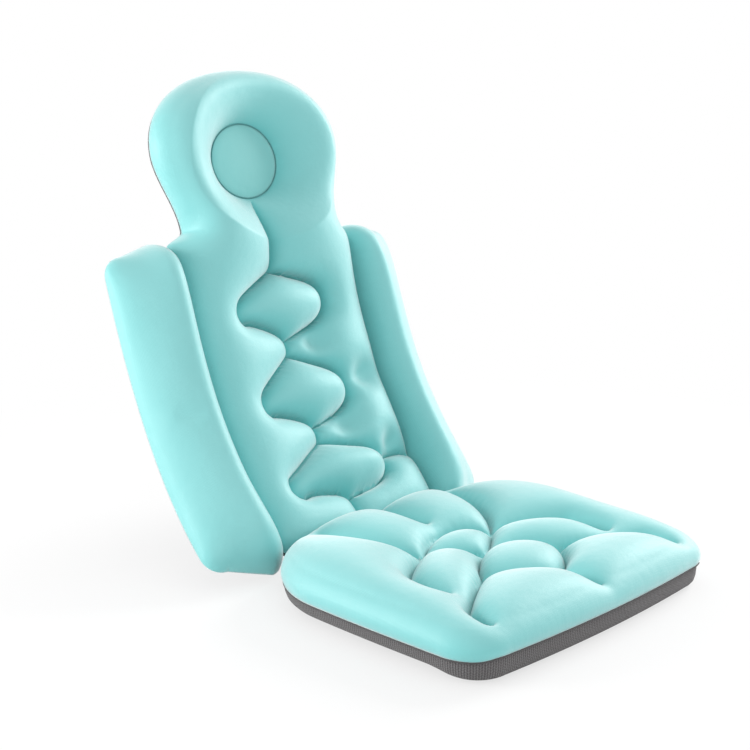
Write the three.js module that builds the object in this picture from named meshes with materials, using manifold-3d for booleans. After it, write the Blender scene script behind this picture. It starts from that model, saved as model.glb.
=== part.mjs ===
// Full-length bath pillow: a quilted seat on suction cups, and a quilted back with a ring-shaped
// head rest and two side bolsters, folded up from the seat's rear edge. Millimetres, +Z up.
// X runs across the seat, +Y to the rear. The origin lies under the middle of the whole, on the floor.
import * as THREE from 'three';
import { mergeVertices } from 'three/addons/utils/BufferGeometryUtils.js';
import Module from 'manifold-3d';

const wasm = await Module();
wasm.setup();

// Gaps between pieces that touch
const gap = 0.3;
const cutOverrun = 2;
const fillClearance = 1.2;

// Seat
const seatWidth = 440;
const seatDepth = 374;
const seatFrontCorner = 48;
const seatRearCorner = 133;
const seatFrontBow = 7;
const seatSideBow = 5;
const seatCrown = 38;
const seatCrownRise = 52;
const seatLobeRise = 30;
const seatRearFall = 95;
const seatRearCrown = 25;
const bandHeight = 22;
const bandWall = 3.5;
const baseSheet = 4;
const bindingHeight = 2.4;
const bindingWidth = 6;
const bindingProud = 0.8;
const coverRim = 12;
const coverSkin = 3;
const slabColumns = 8;
const slabRows = 20;

// Back, measured along its curved base from the inner feet of the bolsters to the top of the head rest
const backLength = 674;
const backFoot = 8;
const neckBelowTop = 205;
const panelHalfWidth = 150;
const panelFootHalfWidth = 140;
const panelFootLength = 136;
const panelFootCorner = 26;
const shoulderLength = 18;
const neckHalfWidth = 131;
const headHalfWidth = 158;
const headWidestBelowTop = 102;
const backCrown = 52;
const backCrownRise = 44;
const backLobeRise = 32;
const backSheet = 4;
const backStartY = -0.3;
const backStartZ = 13.7;
const backFootCrown = 40;
const backFootFallLength = 90;
const backPadShare = 0.45;
const leanAtNeck = 0.2132;
const leanGrowth = 0.2196;
const leanCurl = 0.5956;
const neckLength = backLength - neckBelowTop;
const headWidestLength = backLength - headWidestBelowTop;

// Oval recess of the head rest
const recessBelowTop = 118;
const recessLength = backLength - recessBelowTop;
const recessHalfWidth = 52;
const recessHalfLength = 48;
const recessRise = 46;
const recessFloor = 2.2;
const patchThickness = 2.4;

// Side bolsters
const wingOuterHalfWidth = 249;
const wingBelowNeck = 11;
const wingLength = neckLength - wingBelowNeck;
const wingTopSlant = 12;
const wingFootSlant = 24;
const wingCorner = 26;
const wingCrown = 74;
const wingCrestShare = 0.7;
const wingSlopePower = 1.45;
const wingRoundPower = 2;
const wingSheet = 4;
const wingSeamGap = 0.75;
const wingRollInset = 22;
const wingRollShare = 0.42;

// Suction cups
const cupRadius = 26;
const cupHeight = 10;
const cupHollow = 3.4;
const cupLip = 1.4;
const cupNeckRadius = 5;
const cupCollarRadius = 8;
const cupHeadRadius = 9;
const cupHeadHeight = 3;
const eyeletThickness = 1.2;
const eyeletRadius = 10.5;
const seatCupInset = 68;
const seatRearCupInset = 26;
const seatRearCupPastStraight = 23;
const backCupHalfSpan = 92;
const lowerBackCupLength = 131;
const upperBackCupLength = 371;
const headCupHalfSpan = 92;
const headCupBelowTop = 100;

// Cloth strip that joins the seat to the back, as long as the straight part of the seat's rear edge
const foldStripInset = 4;

// Fabric and rubber colours
const aqua = new THREE.MeshStandardMaterial({ color: '#84cfcd', roughness: 0.85, metalness: 0 });
const aquaPatch = new THREE.MeshStandardMaterial({ color: '#7fcbca', roughness: 0.9, metalness: 0 });
const greyMesh = new THREE.MeshStandardMaterial({ color: '#5f5c5d', roughness: 0.95, metalness: 0 });
const greyBinding = new THREE.MeshStandardMaterial({ color: '#4a4849', roughness: 0.9, metalness: 0 });
const whiteFibre = new THREE.MeshStandardMaterial({ color: '#f1f3f1', roughness: 1, metalness: 0 });
const cupRubber = new THREE.MeshStandardMaterial({ color: '#dfe7e6', roughness: 0.35, metalness: 0 });
const eyeletPlastic = new THREE.MeshStandardMaterial({ color: '#d5d9d8', roughness: 0.5, metalness: 0 });

// Levels of the seat above the floor
const baseLevel = cupHeight;
const bandTop = baseLevel + bandHeight;
const bindingLevel = bandTop + gap;
const coverLevel = bindingLevel + bindingHeight + gap;

// Sewn seams of the seat, as shares of its half width and of its depth from the rear edge.
// A seam of three points is a curve that bends towards its middle point.
const seatSeamShares = [
  [[0, 0.02], [0, 0.34]],
  [[0.28, 0.413], [0.14, 0.34], [0, 0.34]],
  [[0.28, 0.413], [0.13, 0.492], [0, 0.53]],
  [[0.535, 0.09], [0.5, 0.308], [0.28, 0.413]],
  [[0.28, 0.413], [0.45, 0.45], [0.655, 0.551]],
  [[0.655, 0.551], [0.69, 0.633], [0.68, 0.717]],
  [[0, 0.53], [0.17, 0.565], [0.318, 0.673]],
  [[0.318, 0.673], [0.2, 0.79], [0, 0.816]],
  [[0.318, 0.673], [0.5, 0.733], [0.745, 0.832]],
  [[0.745, 0.832], [0.77, 0.874], [0.782, 0.932]],
  [[0, 0.816], [0, 0.963]],
];

// Sewn seams of the back, as shares of the panel's half width and of the back's length
const backSeamShares = [
  [[0, 0.754], [0, 0.598]],
  [[0.513, 0.535], [0.48, 0.58], [0, 0.598]],
  [[0.513, 0.535], [0.46, 0.49], [0, 0.45]],
  [[0, 0.45], [0, 0.42]],
  [[0.507, 0.336], [0.48, 0.38], [0, 0.42]],
  [[0.507, 0.336], [0.45, 0.3], [0, 0.261]],
  [[0, 0.261], [0, 0.227]],
  [[0.58, 0.156], [0.52, 0.19], [0, 0.227]],
  [[0.58, 0.156], [0.5, 0.115], [0, 0.092]],
  [[0, 0.092], [0, 0.045]],
];

// How deep a seam pulls in, as shares of the crown that stay at the seam
const seatValleyShare = 0.3;
const backValleyShare = 0.34;

// How near a point of a grid lies to a seam when it is moved onto it
const seatSnapReach = 6.8;
const backSnapReach = 6.8;

const seamSteps = 8;
const outlineSteps = 48;
const curveSteps = 324;
const curveTailSteps = 10;
const backRows = 37;
const padRows = 15;
const roundSides = 12;
const endReachShare = 0.15;
const roundEndRowShare = 0.7;
const headTopRowShare = 0.3;
const headRoundPower = 2.3;
const frontBowPower = 4;

// Profile of a suction cup, as shares of its radius and of its hollow's depth or its height
const cupHollowShares = [[0, 1], [0.5, 0.84], [0.8, 0.42]];
const cupSkirtShares = [[0.72, 0.44], [0.45, 0.72]];
const cupHeadTopShare = 0.85;

function mix(a, b, share) {
  return a + (b - a) * share;
}

function smooth(share) {
  const t = Math.min(Math.max(share, 0), 1);
  return t * t * (3 - 2 * t);
}

// Height of a quarter round that starts upright at a seam and levels off at its radius
function rise(distance, radius) {
  const left = 1 - Math.min(Math.max(distance, 0) / radius, 1);
  return Math.sqrt(1 - left * left);
}

function curvePoints(points) {
  if (points.length === 2) return points;
  const [a, b, c] = points.map(([x, y]) => new THREE.Vector2(x, y));
  return new THREE.QuadraticBezierCurve(a, b, c).getPoints(seamSteps).map((p) => [p.x, p.y]);
}

// Seams on both halves of a panel as chains of points in real sizes
function seamChains(shares, across, along) {
  const chains = [];
  for (const seam of shares) {
    const right = curvePoints(seam.map(([x, t]) => [x * across, t * along]));
    chains.push(right);
    if (seam.some(([x]) => x > 0)) chains.push(right.map(([x, t]) => [-x, t]));
  }
  return chains;
}

// Distance from a point to the nearest of some chains, and the nearest place itself
function nearestOn(chains, x, t) {
  let best = { distance: Infinity, x, t };
  for (const chain of chains) {
    for (let i = 1; i < chain.length; i += 1) {
      const [ax, at] = chain[i - 1];
      const [bx, bt] = chain[i];
      const lengthSquared = (bx - ax) ** 2 + (bt - at) ** 2;
      const along = lengthSquared ? ((x - ax) * (bx - ax) + (t - at) * (bt - at)) / lengthSquared : 0;
      const share = Math.min(Math.max(along, 0), 1);
      const nearX = mix(ax, bx, share);
      const nearT = mix(at, bt, share);
      const distance = Math.hypot(x - nearX, t - nearT);
      if (distance < best.distance) best = { distance, x: nearX, t: nearT };
    }
  }
  return best;
}

// Outline of a patch, which maps u and v from 0 to 1 onto the cloth
function outlineOf(patch, steps) {
  const loop = [];
  for (let i = 0; i < steps; i += 1) loop.push(patch(i / steps, 0));
  for (let i = 0; i < steps; i += 1) loop.push(patch(1, i / steps));
  for (let i = 0; i < steps; i += 1) loop.push(patch(1 - i / steps, 1));
  for (let i = 0; i < steps; i += 1) loop.push(patch(0, 1 - i / steps));
  loop.push(loop[0]);
  return loop;
}

function geometryFrom(vertices, triangles) {
  const geometry = new THREE.BufferGeometry();
  geometry.setAttribute('position', new THREE.Float32BufferAttribute(vertices.flat(), 3));
  geometry.setIndex(triangles.flat());
  return geometry;
}

// Closed solid over a patch: a grid on top, and one strip per row below
function paddedSolid({ patch, columns, rows, top, bottom, place, snapTo = [], snapReach = 0, mirrored = false }) {
  const vertices = [];
  const seamHeights = [];
  const triangles = [];
  const across = columns + 1;
  for (let j = 0; j <= rows; j += 1) {
    for (let i = 0; i <= columns; i += 1) {
      let [x, t] = patch(i / columns, j / rows);
      const inside = i > 0 && i < columns && j > 0 && j < rows;
      const seam = inside && snapReach > 0 ? nearestOn(snapTo, x, t) : null;
      const onSeam = Boolean(seam) && seam.distance < snapReach;
      if (onSeam) [x, t] = [seam.x, seam.t];
      seamHeights.push(onSeam ? top(x, t) : Infinity);
      vertices.push(place(x, t, top(x, t)));
    }
  }
  const below = vertices.length;
  for (let j = 0; j <= rows; j += 1) {
    for (let i = 0; i <= columns; i += 1) {
      const [x, t] = patch(i / columns, j / rows);
      vertices.push(place(x, t, bottom));
    }
  }
  const at = (i, j) => j * across + i;
  const under = (i, j) => below + at(i, j);
  for (let j = 0; j < rows; j += 1) {
    for (let i = 0; i < columns; i += 1) {
      triangles.push(...foldedCell(seamHeights, at(i, j), at(i + 1, j), at(i + 1, j + 1), at(i, j + 1)));
    }
    triangles.push([at(0, j), at(0, j + 1), under(0, j + 1)], [at(0, j), under(0, j + 1), under(0, j)]);
    triangles.push([at(columns, j), under(columns, j), under(columns, j + 1)]);
    triangles.push([at(columns, j), under(columns, j + 1), at(columns, j + 1)]);
  }
  for (let i = 0; i < columns; i += 1) {
    triangles.push([at(i, 0), under(i, 0), under(i + 1, 0)], [at(i, 0), under(i + 1, 0), at(i + 1, 0)]);
    triangles.push([at(i, rows), at(i + 1, rows), under(i + 1, rows)]);
    triangles.push([at(i, rows), under(i + 1, rows), under(i, rows)]);
  }
  for (let j = 1; j < rows - 1; j += 1) {
    triangles.push([under(0, j), under(0, j + 1), under(columns, j + 1)]);
    triangles.push([under(0, j), under(columns, j + 1), under(columns, j)]);
  }
  closeEnd(triangles, under, columns, 0, 1, false);
  closeEnd(triangles, under, columns, rows, rows - 1, true);
  if (mirrored) triangles.forEach((triangle) => triangle.reverse());
  return mergeVertices(geometryFrom(vertices, triangles));
}

// Two triangles of a cell. Their fold joins the corners that lie on a seam, where two of them do.
function foldedCell(seamHeights, a, b, c, d) {
  if (seamHeights[b] + seamHeights[d] < seamHeights[a] + seamHeights[c]) return [[a, b, d], [b, c, d]];
  return [[a, b, c], [a, c, d]];
}

// Fan between the last row of the underside, with all its points, and the two rim points next to it
function closeEnd(triangles, under, columns, end, next, turned) {
  const middle = Math.floor(columns / 2);
  const add = (a, b, c) => triangles.push(turned ? [a, c, b] : [a, b, c]);
  for (let i = 0; i < middle; i += 1) add(under(0, next), under(i + 1, end), under(i, end));
  add(under(0, next), under(columns, next), under(middle, end));
  for (let i = middle; i < columns; i += 1) add(under(columns, next), under(i + 1, end), under(i, end));
}

function toSolid(geometry) {
  const plain = geometry.clone();
  plain.deleteAttribute('normal');
  plain.deleteAttribute('uv');
  const merged = mergeVertices(plain);
  const vertProperties = new Float32Array(merged.attributes.position.array);
  const triVerts = new Uint32Array(merged.index.array);
  return new wasm.Manifold(new wasm.Mesh({ numProp: 3, vertProperties, triVerts }));
}

function toGeometry(solid) {
  const mesh = solid.getMesh();
  const geometry = new THREE.BufferGeometry();
  geometry.setAttribute('position', new THREE.Float32BufferAttribute(mesh.vertProperties, 3));
  geometry.setIndex(Array.from(mesh.triVerts));
  return geometry;
}

function cut(geometry, tools) {
  return toGeometry(tools.reduce((rest, tool) => rest.subtract(toSolid(tool)), toSolid(geometry)));
}

// Half width of a rounded rectangle at a distance from one of its ends
function roundedShare(distance, radius) {
  const left = radius - Math.min(Math.max(distance, 0), radius);
  return Math.sqrt(radius * radius - left * left);
}

// Row places along a length, closer together at rounded ends
function easedShare(v) {
  return mix(v, (1 - Math.cos(Math.PI * v)) / 2, roundEndRowShare);
}

// Seat patch: u from left to right, v from the rear edge to the front
function seatPatch(inset) {
  const half = seatWidth / 2 - inset;
  const rearCorner = seatRearCorner - inset;
  const frontCorner = seatFrontCorner - inset;
  const span = seatDepth - 2 * inset;
  return (u, v) => {
    const t = span * easedShare(v);
    const rear = rearCorner - roundedShare(t, rearCorner);
    const front = frontCorner - roundedShare(span - t, frontCorner);
    const bulge = seatSideBow * Math.sin(Math.PI * easedShare(v));
    const side = 2 * u - 1;
    const x = side * (half - rear - front + bulge);
    const bow = seatFrontBow * easedShare(v) ** frontBowPower * (1 - side * side);
    return [x, inset + t + bow];
  };
}

const placeOnSeat = (level) => (x, t, height) => [x, -t, level + height];

const seatSeams = seamChains(seatSeamShares, seatWidth / 2, seatDepth);
const seatOutline = outlineOf(seatPatch(0), outlineSteps);

function seatTopHeight(x, t) {
  const edge = rise(nearestOn([seatOutline], x, t).distance, seatCrownRise);
  const lobe = smooth(nearestOn(seatSeams, x, t).distance / seatLobeRise);
  return seatCrownAt(t) * edge * mix(seatValleyShare, 1, lobe);
}

// Crown of the seat, which falls towards the rear where the back folds down onto it
function seatCrownAt(t) {
  return mix(seatRearCrown, seatCrown, smooth(t / seatRearFall));
}

function seatCavityHeight(inset) {
  return (x, t) => {
    const edge = rise(nearestOn([seatOutline], x, t).distance - inset, seatCrownRise);
    return (seatCrownAt(t) * seatValleyShare - coverSkin) * edge;
  };
}

// Solid on the seat, where the patch runs from the rear to the front and so is mirrored
function seatSolid(inset, level, shape) {
  return paddedSolid({ patch: seatPatch(inset), place: placeOnSeat(level), mirrored: true, ...shape });
}

function seatSlab(inset, level, height) {
  return seatSolid(inset, level, { columns: slabColumns, rows: slabRows, top: () => height, bottom: 0 });
}

function seatTopCover() {
  const shell = seatSolid(0, coverLevel, {
    columns: 30,
    rows: 28,
    top: seatTopHeight,
    bottom: 0,
    snapTo: seatSeams,
    snapReach: seatSnapReach,
  });
  const hollow = seatSolid(coverRim, coverLevel, {
    columns: 10,
    rows: 12,
    top: seatCavityHeight(coverRim),
    bottom: -cutOverrun,
  });
  return cut(shell, [hollow]);
}

const cupPlaces = seatCupPlaces();

function seatCupPlaces() {
  const across = seatWidth / 2 - seatCupInset;
  const frontDepth = seatDepth - seatCupInset;
  const rearAcross = seatWidth / 2 - seatRearCorner + seatRearCupPastStraight;
  return [
    { name: 'seat_rear_left', x: -rearAcross, y: -seatRearCupInset },
    { name: 'seat_rear_right', x: rearAcross, y: -seatRearCupInset },
    { name: 'seat_front_left', x: -across, y: -frontDepth },
    { name: 'seat_front_right', x: across, y: -frontDepth },
  ];
}

function seatPegs(radius, from, to) {
  return cupPlaces.map(({ x, y }) => {
    const peg = new THREE.CylinderGeometry(radius, radius, to - from, roundSides);
    peg.rotateX(Math.PI / 2);
    peg.translate(x, y, (from + to) / 2);
    return peg;
  });
}

// Core in two steps: one fills the tray of the base, the other the hollow of the quilted top
function seatFibreCore() {
  const floor = baseLevel + baseSheet + gap;
  const stepLevel = bandTop - gap;
  const lower = seatSlab(bandWall + gap, floor, stepLevel - floor);
  const upper = seatSolid(coverRim + fillClearance, coverLevel, {
    columns: 10,
    rows: 12,
    top: (x, t) => seatCavityHeight(coverRim + fillClearance)(x, t) - fillClearance,
    bottom: stepLevel - coverLevel - cutOverrun,
  });
  const joined = toGeometry(toSolid(lower).add(toSolid(upper)));
  const pocketTop = floor + eyeletThickness + cupHeadHeight + 3 * gap;
  return cut(joined, seatPegs(eyeletRadius + gap, floor - cutOverrun, pocketTop));
}

function seatBaseMesh() {
  const block = seatSlab(0, baseLevel, bandHeight);
  const room = seatSlab(bandWall, baseLevel + baseSheet, bandHeight);
  return cut(block, [room, ...seatPegs(cupNeckRadius + gap, 0, bandTop)]);
}

function seatBinding() {
  const ring = seatSlab(-bindingProud, bindingLevel, bindingHeight);
  const middle = seatSlab(bindingWidth, bindingLevel - cutOverrun, bindingHeight + 2 * cutOverrun);
  return cut(ring, [middle]);
}

// Lean of the back's base from upright, which is largest at the fold and settles at the neck
function leanAt(length) {
  const below = Math.max(1 - length / neckLength, 0);
  return leanAtNeck + leanGrowth * below + leanCurl * below * below;
}

// Base curve of the back in the Y-Z plane, summed in small steps
const backCurve = curveTable();

function curveTable() {
  const step = backLength / curveSteps;
  const table = [{ y: backStartY, z: backStartZ }];
  for (let i = 0; i < curveSteps + curveTailSteps; i += 1) {
    const lean = leanAt((i + 0.5) * step);
    const last = table[i];
    table.push({ y: last.y + Math.sin(lean) * step, z: last.z + Math.cos(lean) * step });
  }
  return table;
}

function backBase(length) {
  const place = (length / backLength) * curveSteps;
  const i = Math.min(Math.max(Math.floor(place), 0), backCurve.length - 2);
  const share = place - i;
  const from = backCurve[i];
  const to = backCurve[i + 1];
  return { y: mix(from.y, to.y, share), z: mix(from.z, to.z, share), lean: leanAt(length) };
}

function placeOnBack(x, t, height) {
  const base = backBase(t);
  return [x, base.y - height * Math.cos(base.lean), base.z + height * Math.sin(base.lean)];
}

// Half width of the panel at the seams to the side bolsters
function seamHalfWidth(t) {
  return mix(panelFootHalfWidth, panelHalfWidth, smooth(t / panelFootLength));
}

// Half width of the back: the foot, the panel, the neck and the head rest
function backHalfWidth(t) {
  const foot = panelFootCorner - roundedShare(t - backFoot, panelFootCorner);
  const neckStart = neckLength - shoulderLength;
  if (t < neckLength) {
    return mix(seamHalfWidth(t), neckHalfWidth, smooth((t - neckStart) / shoulderLength)) - foot;
  }
  if (t < headWidestLength) {
    const share = smooth((t - neckLength) / (headWidestLength - neckLength));
    return mix(neckHalfWidth, headHalfWidth, share);
  }
  const up = Math.min((t - headWidestLength) / (backLength - headWidestLength), 1);
  return headHalfWidth * (1 - up ** headRoundPower) ** (1 / headRoundPower);
}

// Half width of the fibre pad's field, which runs straight through the neck
function padHalfWidth(t) {
  return Math.min(backHalfWidth(t), neckHalfWidth);
}

// Back patch: u from left to right, v from the fold to the top of the head rest. An inset moves the
// rows near both ends only, so that patches of any inset share their rows at the shoulders.
function backPatch(inset, halfWidthAt = backHalfWidth) {
  const endReach = backLength * endReachShare;
  const end = backLength - gap;
  return (u, v) => {
    const row = mix(backFoot, end, backRowShare(v));
    const fromStart = Math.max(1 - (row - backFoot) / endReach, 0);
    const fromEnd = Math.max(1 - (end - row) / endReach, 0);
    const t = row + inset * fromStart - inset * fromEnd;
    return [(2 * u - 1) * (halfWidthAt(row) - inset), t];
  };
}

// Rows of the back, closer together at the round top of the head rest
function backRowShare(v) {
  return mix(v, Math.sin((Math.PI / 2) * v), headTopRowShare);
}

const backSeams = seamChains(backSeamShares, panelHalfWidth, backLength);
const backOutline = outlineOf(backPatch(0), outlineSteps);

// Distance out from the oval recess, scaled so that the oval's own edge is zero
function recessDistance(x, t) {
  const reach = Math.hypot(x / recessHalfWidth, (t - recessLength) / recessHalfLength);
  return (reach - 1) * Math.min(recessHalfWidth, recessHalfLength);
}

const backCoverFoot = bindingHeight + 2 * gap;

function backTopHeight(x, t) {
  const edge = rise(nearestOn([backOutline], x, t).distance, backCrownRise);
  const lobe = smooth(nearestOn(backSeams, x, t).distance / backLobeRise);
  const recess = rise(recessDistance(x, t), recessRise);
  const fall = smooth((t - backFoot) / backFootFallLength);
  const full = mix(backFootCrown, backCrown, fall) - backCoverFoot;
  const crown = full * edge * mix(backValleyShare, 1, lobe);
  return backCoverFoot + mix(recessFloor, crown, recess);
}

function backCavityHeight(inset) {
  return (x, t) => {
    const edge = rise(nearestOn([backOutline], x, t).distance - inset, backCrownRise);
    const recess = rise(recessDistance(x, t) - inset, recessRise);
    return backCoverFoot + (backCrown * backValleyShare - coverSkin) * edge * recess;
  };
}

function ovalPeg(clearance, from, to) {
  const across = recessHalfWidth + clearance;
  const along = recessHalfLength + clearance;
  const peg = new THREE.CylinderGeometry(1, 1, to - from, 2 * roundSides);
  peg.rotateX(Math.PI / 2);
  peg.scale(across, along, 1);
  peg.translate(0, 0, (from + to) / 2);
  return turnedToBack(peg, 0, recessLength);
}

// Moves a shape drawn about the Z axis onto the back's base, with Z along the base's normal
function turnedToBack(geometry, x, t) {
  const base = backBase(t);
  geometry.rotateX(Math.PI / 2 - base.lean);
  geometry.translate(x, base.y, base.z);
  return geometry;
}

function backTopCover() {
  const shell = paddedSolid({
    patch: backPatch(0),
    columns: 20,
    rows: backRows,
    top: backTopHeight,
    bottom: backCoverFoot,
    place: placeOnBack,
    snapTo: backSeams,
    snapReach: backSnapReach,
  });
  const hollow = paddedSolid({
    patch: backPatch(coverRim, padHalfWidth),
    columns: 4,
    rows: padRows,
    top: backCavityHeight(coverRim),
    bottom: 0,
    place: placeOnBack,
  });
  const keep = ovalPeg(coverRim, -cutOverrun, backCrown);
  const room = cut(hollow, [keep]);
  return cut(shell, [room, ovalPeg(0, -cutOverrun, backCrown)]);
}

function backSlab(inset, from, to) {
  return paddedSolid({
    patch: backPatch(inset),
    columns: 2,
    rows: backRows,
    top: () => to,
    bottom: from,
    place: placeOnBack,
  });
}

const backCupPlaces = [
  { name: 'back_lower_left', x: -backCupHalfSpan, t: lowerBackCupLength },
  { name: 'back_lower_right', x: backCupHalfSpan, t: lowerBackCupLength },
  { name: 'back_upper_left', x: -backCupHalfSpan, t: upperBackCupLength },
  { name: 'back_upper_right', x: backCupHalfSpan, t: upperBackCupLength },
  { name: 'head_left', x: -headCupHalfSpan, t: backLength - headCupBelowTop },
  { name: 'head_right', x: headCupHalfSpan, t: backLength - headCupBelowTop },
];

function backPegs(radius, from, to) {
  return backCupPlaces.map(({ x, t }) => {
    const peg = new THREE.CylinderGeometry(radius, radius, to - from, roundSides);
    peg.rotateX(Math.PI / 2);
    peg.translate(0, 0, (from + to) / 2);
    return turnedToBack(peg, x, t);
  });
}

// Fibre pad of the back, thinner than the hollow of its cover
function backFibreCore() {
  const room = backCavityHeight(coverRim + fillClearance);
  const block = paddedSolid({
    patch: backPatch(coverRim + fillClearance, padHalfWidth),
    columns: 4,
    rows: padRows,
    top: (x, t) => mix(gap, room(x, t) - fillClearance, backPadShare),
    bottom: gap,
    place: placeOnBack,
  });
  const heads = backPegs(eyeletRadius + gap, -cutOverrun, eyeletThickness + cupHeadHeight + 4 * gap);
  return cut(block, [ovalPeg(coverRim + fillClearance, -cutOverrun, backCrown), ...heads]);
}

function backBaseMesh() {
  const sheet = backSlab(0, -backSheet, 0);
  return cut(sheet, backPegs(cupNeckRadius + gap, -backSheet - cutOverrun, cutOverrun));
}

function backBinding() {
  const ring = backSlab(0, gap, gap + bindingHeight);
  const middle = backSlab(bindingWidth, gap - cutOverrun, gap + bindingHeight + cutOverrun);
  return cut(ring, [middle]);
}

function headCentrePatch() {
  return ovalPeg(-gap, gap, gap + patchThickness);
}

// Wing patch: u from the seam outwards, v from the foot to the top
function wingPatch(inset) {
  return (u, v) => {
    const start = wingFootSlant * u + inset;
    const top = wingLength - wingTopSlant * u - inset;
    const t = mix(start, top, easedShare(v));
    const corner = wingCorner - inset;
    const end = Math.min(t - start, top - t);
    const pull = corner - roundedShare(Math.max(end, 0), corner);
    const inner = seamHalfWidth(t) + wingSeamGap + inset + pull;
    const outer = wingOuterHalfWidth - inset - pull;
    return [mix(inner, outer, u), t];
  };
}

function wingSolid(side, inset, top, bottom) {
  return paddedSolid({
    patch: wingPatch(inset),
    columns: 8,
    rows: 14,
    top,
    bottom,
    place: (x, t, height) => placeOnBack(side * x, t, height),
    mirrored: side < 0,
  });
}

const wingWidth = wingOuterHalfWidth - panelHalfWidth;
const wingHalfWidth = wingWidth / 2;
const wingOutline = outlineOf(wingPatch(0), outlineSteps).map(([x, t]) => [evenedX(x), t]);

// Share of the way from a bolster's outer edge to its seam, evened so that the crest lies midway
function evenedShare(x) {
  const share = (wingOuterHalfWidth - x) / wingWidth;
  if (share < wingCrestShare) return share / wingCrestShare / 2;
  return 1 - (1 - share) / (1 - wingCrestShare) / 2;
}

function evenedX(x) {
  return wingOuterHalfWidth - evenedShare(x) * wingWidth;
}

// Height of a bolster as a share of its crown: a gentle slope outside the crest, a round one at the seam
function wingFullness(x, t, inset) {
  const distance = nearestOn([wingOutline], evenedX(x), t).distance - inset;
  const left = 1 - Math.min(Math.max(distance, 0) / (wingHalfWidth - inset), 1);
  const power = mix(wingSlopePower, wingRoundPower, smooth(2 * evenedShare(x) - 0.5));
  return (1 - left ** power) ** (1 / power);
}

function wingTopHeight(x, t) {
  return gap + (wingCrown - gap) * wingFullness(x, t, 0);
}

function wingCavityHeight(inset) {
  return (x, t) => (wingCrown - coverSkin) * wingFullness(x, t, inset);
}

function wingCover(side) {
  const shell = wingSolid(side, 0, wingTopHeight, gap);
  const hollow = wingSolid(side, coverSkin, wingCavityHeight(coverSkin), -cutOverrun);
  return cut(shell, [hollow]);
}

// Loose roll of fibre along the middle of a bolster
function wingFibreCore(side) {
  const room = wingCavityHeight(wingRollInset);
  const low = 3 * gap;
  return wingSolid(side, wingRollInset, (x, t) => Math.max(wingRollShare * room(x, t), low + gap), low);
}

function wingBaseMesh(side) {
  return wingSolid(side, 0, () => 0, -wingSheet);
}

// Suction cup about the Z axis: its lip stands on zero and its neck passes the base sheet
function suctionCup(sheet) {
  const headLevel = cupHeight + sheet + eyeletThickness + 2 * gap;
  const profile = [
    ...cupHollowShares.map(([r, z]) => [cupRadius * r, cupHollow * z]),
    [cupRadius - cupLip, 0],
    [cupRadius, 0],
    [cupRadius, cupLip],
    ...cupSkirtShares.map(([r, z]) => [cupRadius * r, cupHeight * z]),
    [cupCollarRadius, cupHeight - gap],
    [cupNeckRadius, cupHeight - gap],
    [cupNeckRadius, headLevel],
    [cupHeadRadius, headLevel],
    [cupHeadRadius * cupHeadTopShare, headLevel + cupHeadHeight],
    [0, headLevel + cupHeadHeight],
  ].map(([r, z]) => new THREE.Vector2(r, z));
  return new THREE.LatheGeometry(profile, roundSides).rotateX(Math.PI / 2);
}

function cupEyelet(sheet) {
  const low = cupHeight + sheet + gap;
  const high = low + eyeletThickness;
  const bore = cupNeckRadius + gap;
  const profile = [
    [bore, low],
    [eyeletRadius, low],
    [eyeletRadius, high],
    [bore, high],
    [bore, low],
  ].map(([r, z]) => new THREE.Vector2(r, z));
  return new THREE.LatheGeometry(profile, roundSides).rotateX(Math.PI / 2);
}

// Strip of base cloth between the seat's rear edge and the back's foot, along which the back folds
function foldStrip() {
  const foot = backBase(backFoot);
  const width = seatWidth - 2 * (seatRearCorner + foldStripInset);
  const low = baseLevel + gap;
  const high = foot.z - gap;
  const strip = new THREE.BoxGeometry(width, foot.y - 2 * gap, high - low);
  strip.translate(0, foot.y / 2, (low + high) / 2);
  return strip;
}

const pillow = new THREE.Group();

function addPiece(parent, name, geometry, material) {
  const mesh = new THREE.Mesh(geometry, material);
  mesh.name = name;
  parent.add(mesh);
  return mesh;
}

function addCup(parent, name, sheet) {
  addPiece(parent, name + '_suction_cup', suctionCup(sheet), cupRubber);
  addPiece(parent, name + '_cup_eyelet', cupEyelet(sheet), eyeletPlastic);
}

addPiece(pillow, 'seat_quilted_top', seatTopCover(), aqua);
addPiece(pillow, 'seat_fibre_core', seatFibreCore(), whiteFibre);
addPiece(pillow, 'seat_base_mesh', seatBaseMesh(), greyMesh);
addPiece(pillow, 'seat_edge_binding', seatBinding(), greyBinding);
addPiece(pillow, 'fold_strip', foldStrip(), greyMesh);
addPiece(pillow, 'back_quilted_top', backTopCover(), aqua);
addPiece(pillow, 'back_fibre_core', backFibreCore(), whiteFibre);
addPiece(pillow, 'back_base_mesh', backBaseMesh(), greyMesh);
addPiece(pillow, 'back_edge_binding', backBinding(), greyBinding);
addPiece(pillow, 'head_centre_patch', headCentrePatch(), aquaPatch);

for (const [word, side] of [['left', -1], ['right', 1]]) {
  addPiece(pillow, word + '_wing_cover', wingCover(side), aqua);
  addPiece(pillow, word + '_wing_fibre_core', wingFibreCore(side), whiteFibre);
  addPiece(pillow, word + '_wing_base_mesh', wingBaseMesh(side), greyMesh);
}

for (const { name, x, y } of cupPlaces) {
  const stand = new THREE.Group();
  stand.position.set(x, y, 0);
  addCup(stand, name, baseSheet);
  pillow.add(stand);
}

for (const { name, x, t } of backCupPlaces) {
  const base = backBase(t);
  const out = backSheet + cupHeight;
  const stand = new THREE.Group();
  stand.position.set(x, base.y + out * Math.cos(base.lean), base.z - out * Math.sin(base.lean));
  stand.rotation.x = Math.PI / 2 - base.lean;
  addCup(stand, name, backSheet + gap);
  pillow.add(stand);
}

// The origin goes under the middle of the whole
const whole = new THREE.Box3().setFromObject(pillow);
pillow.position.y = -(whole.min.y + whole.max.y) / 2;

export default pillow;
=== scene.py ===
import math

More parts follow.
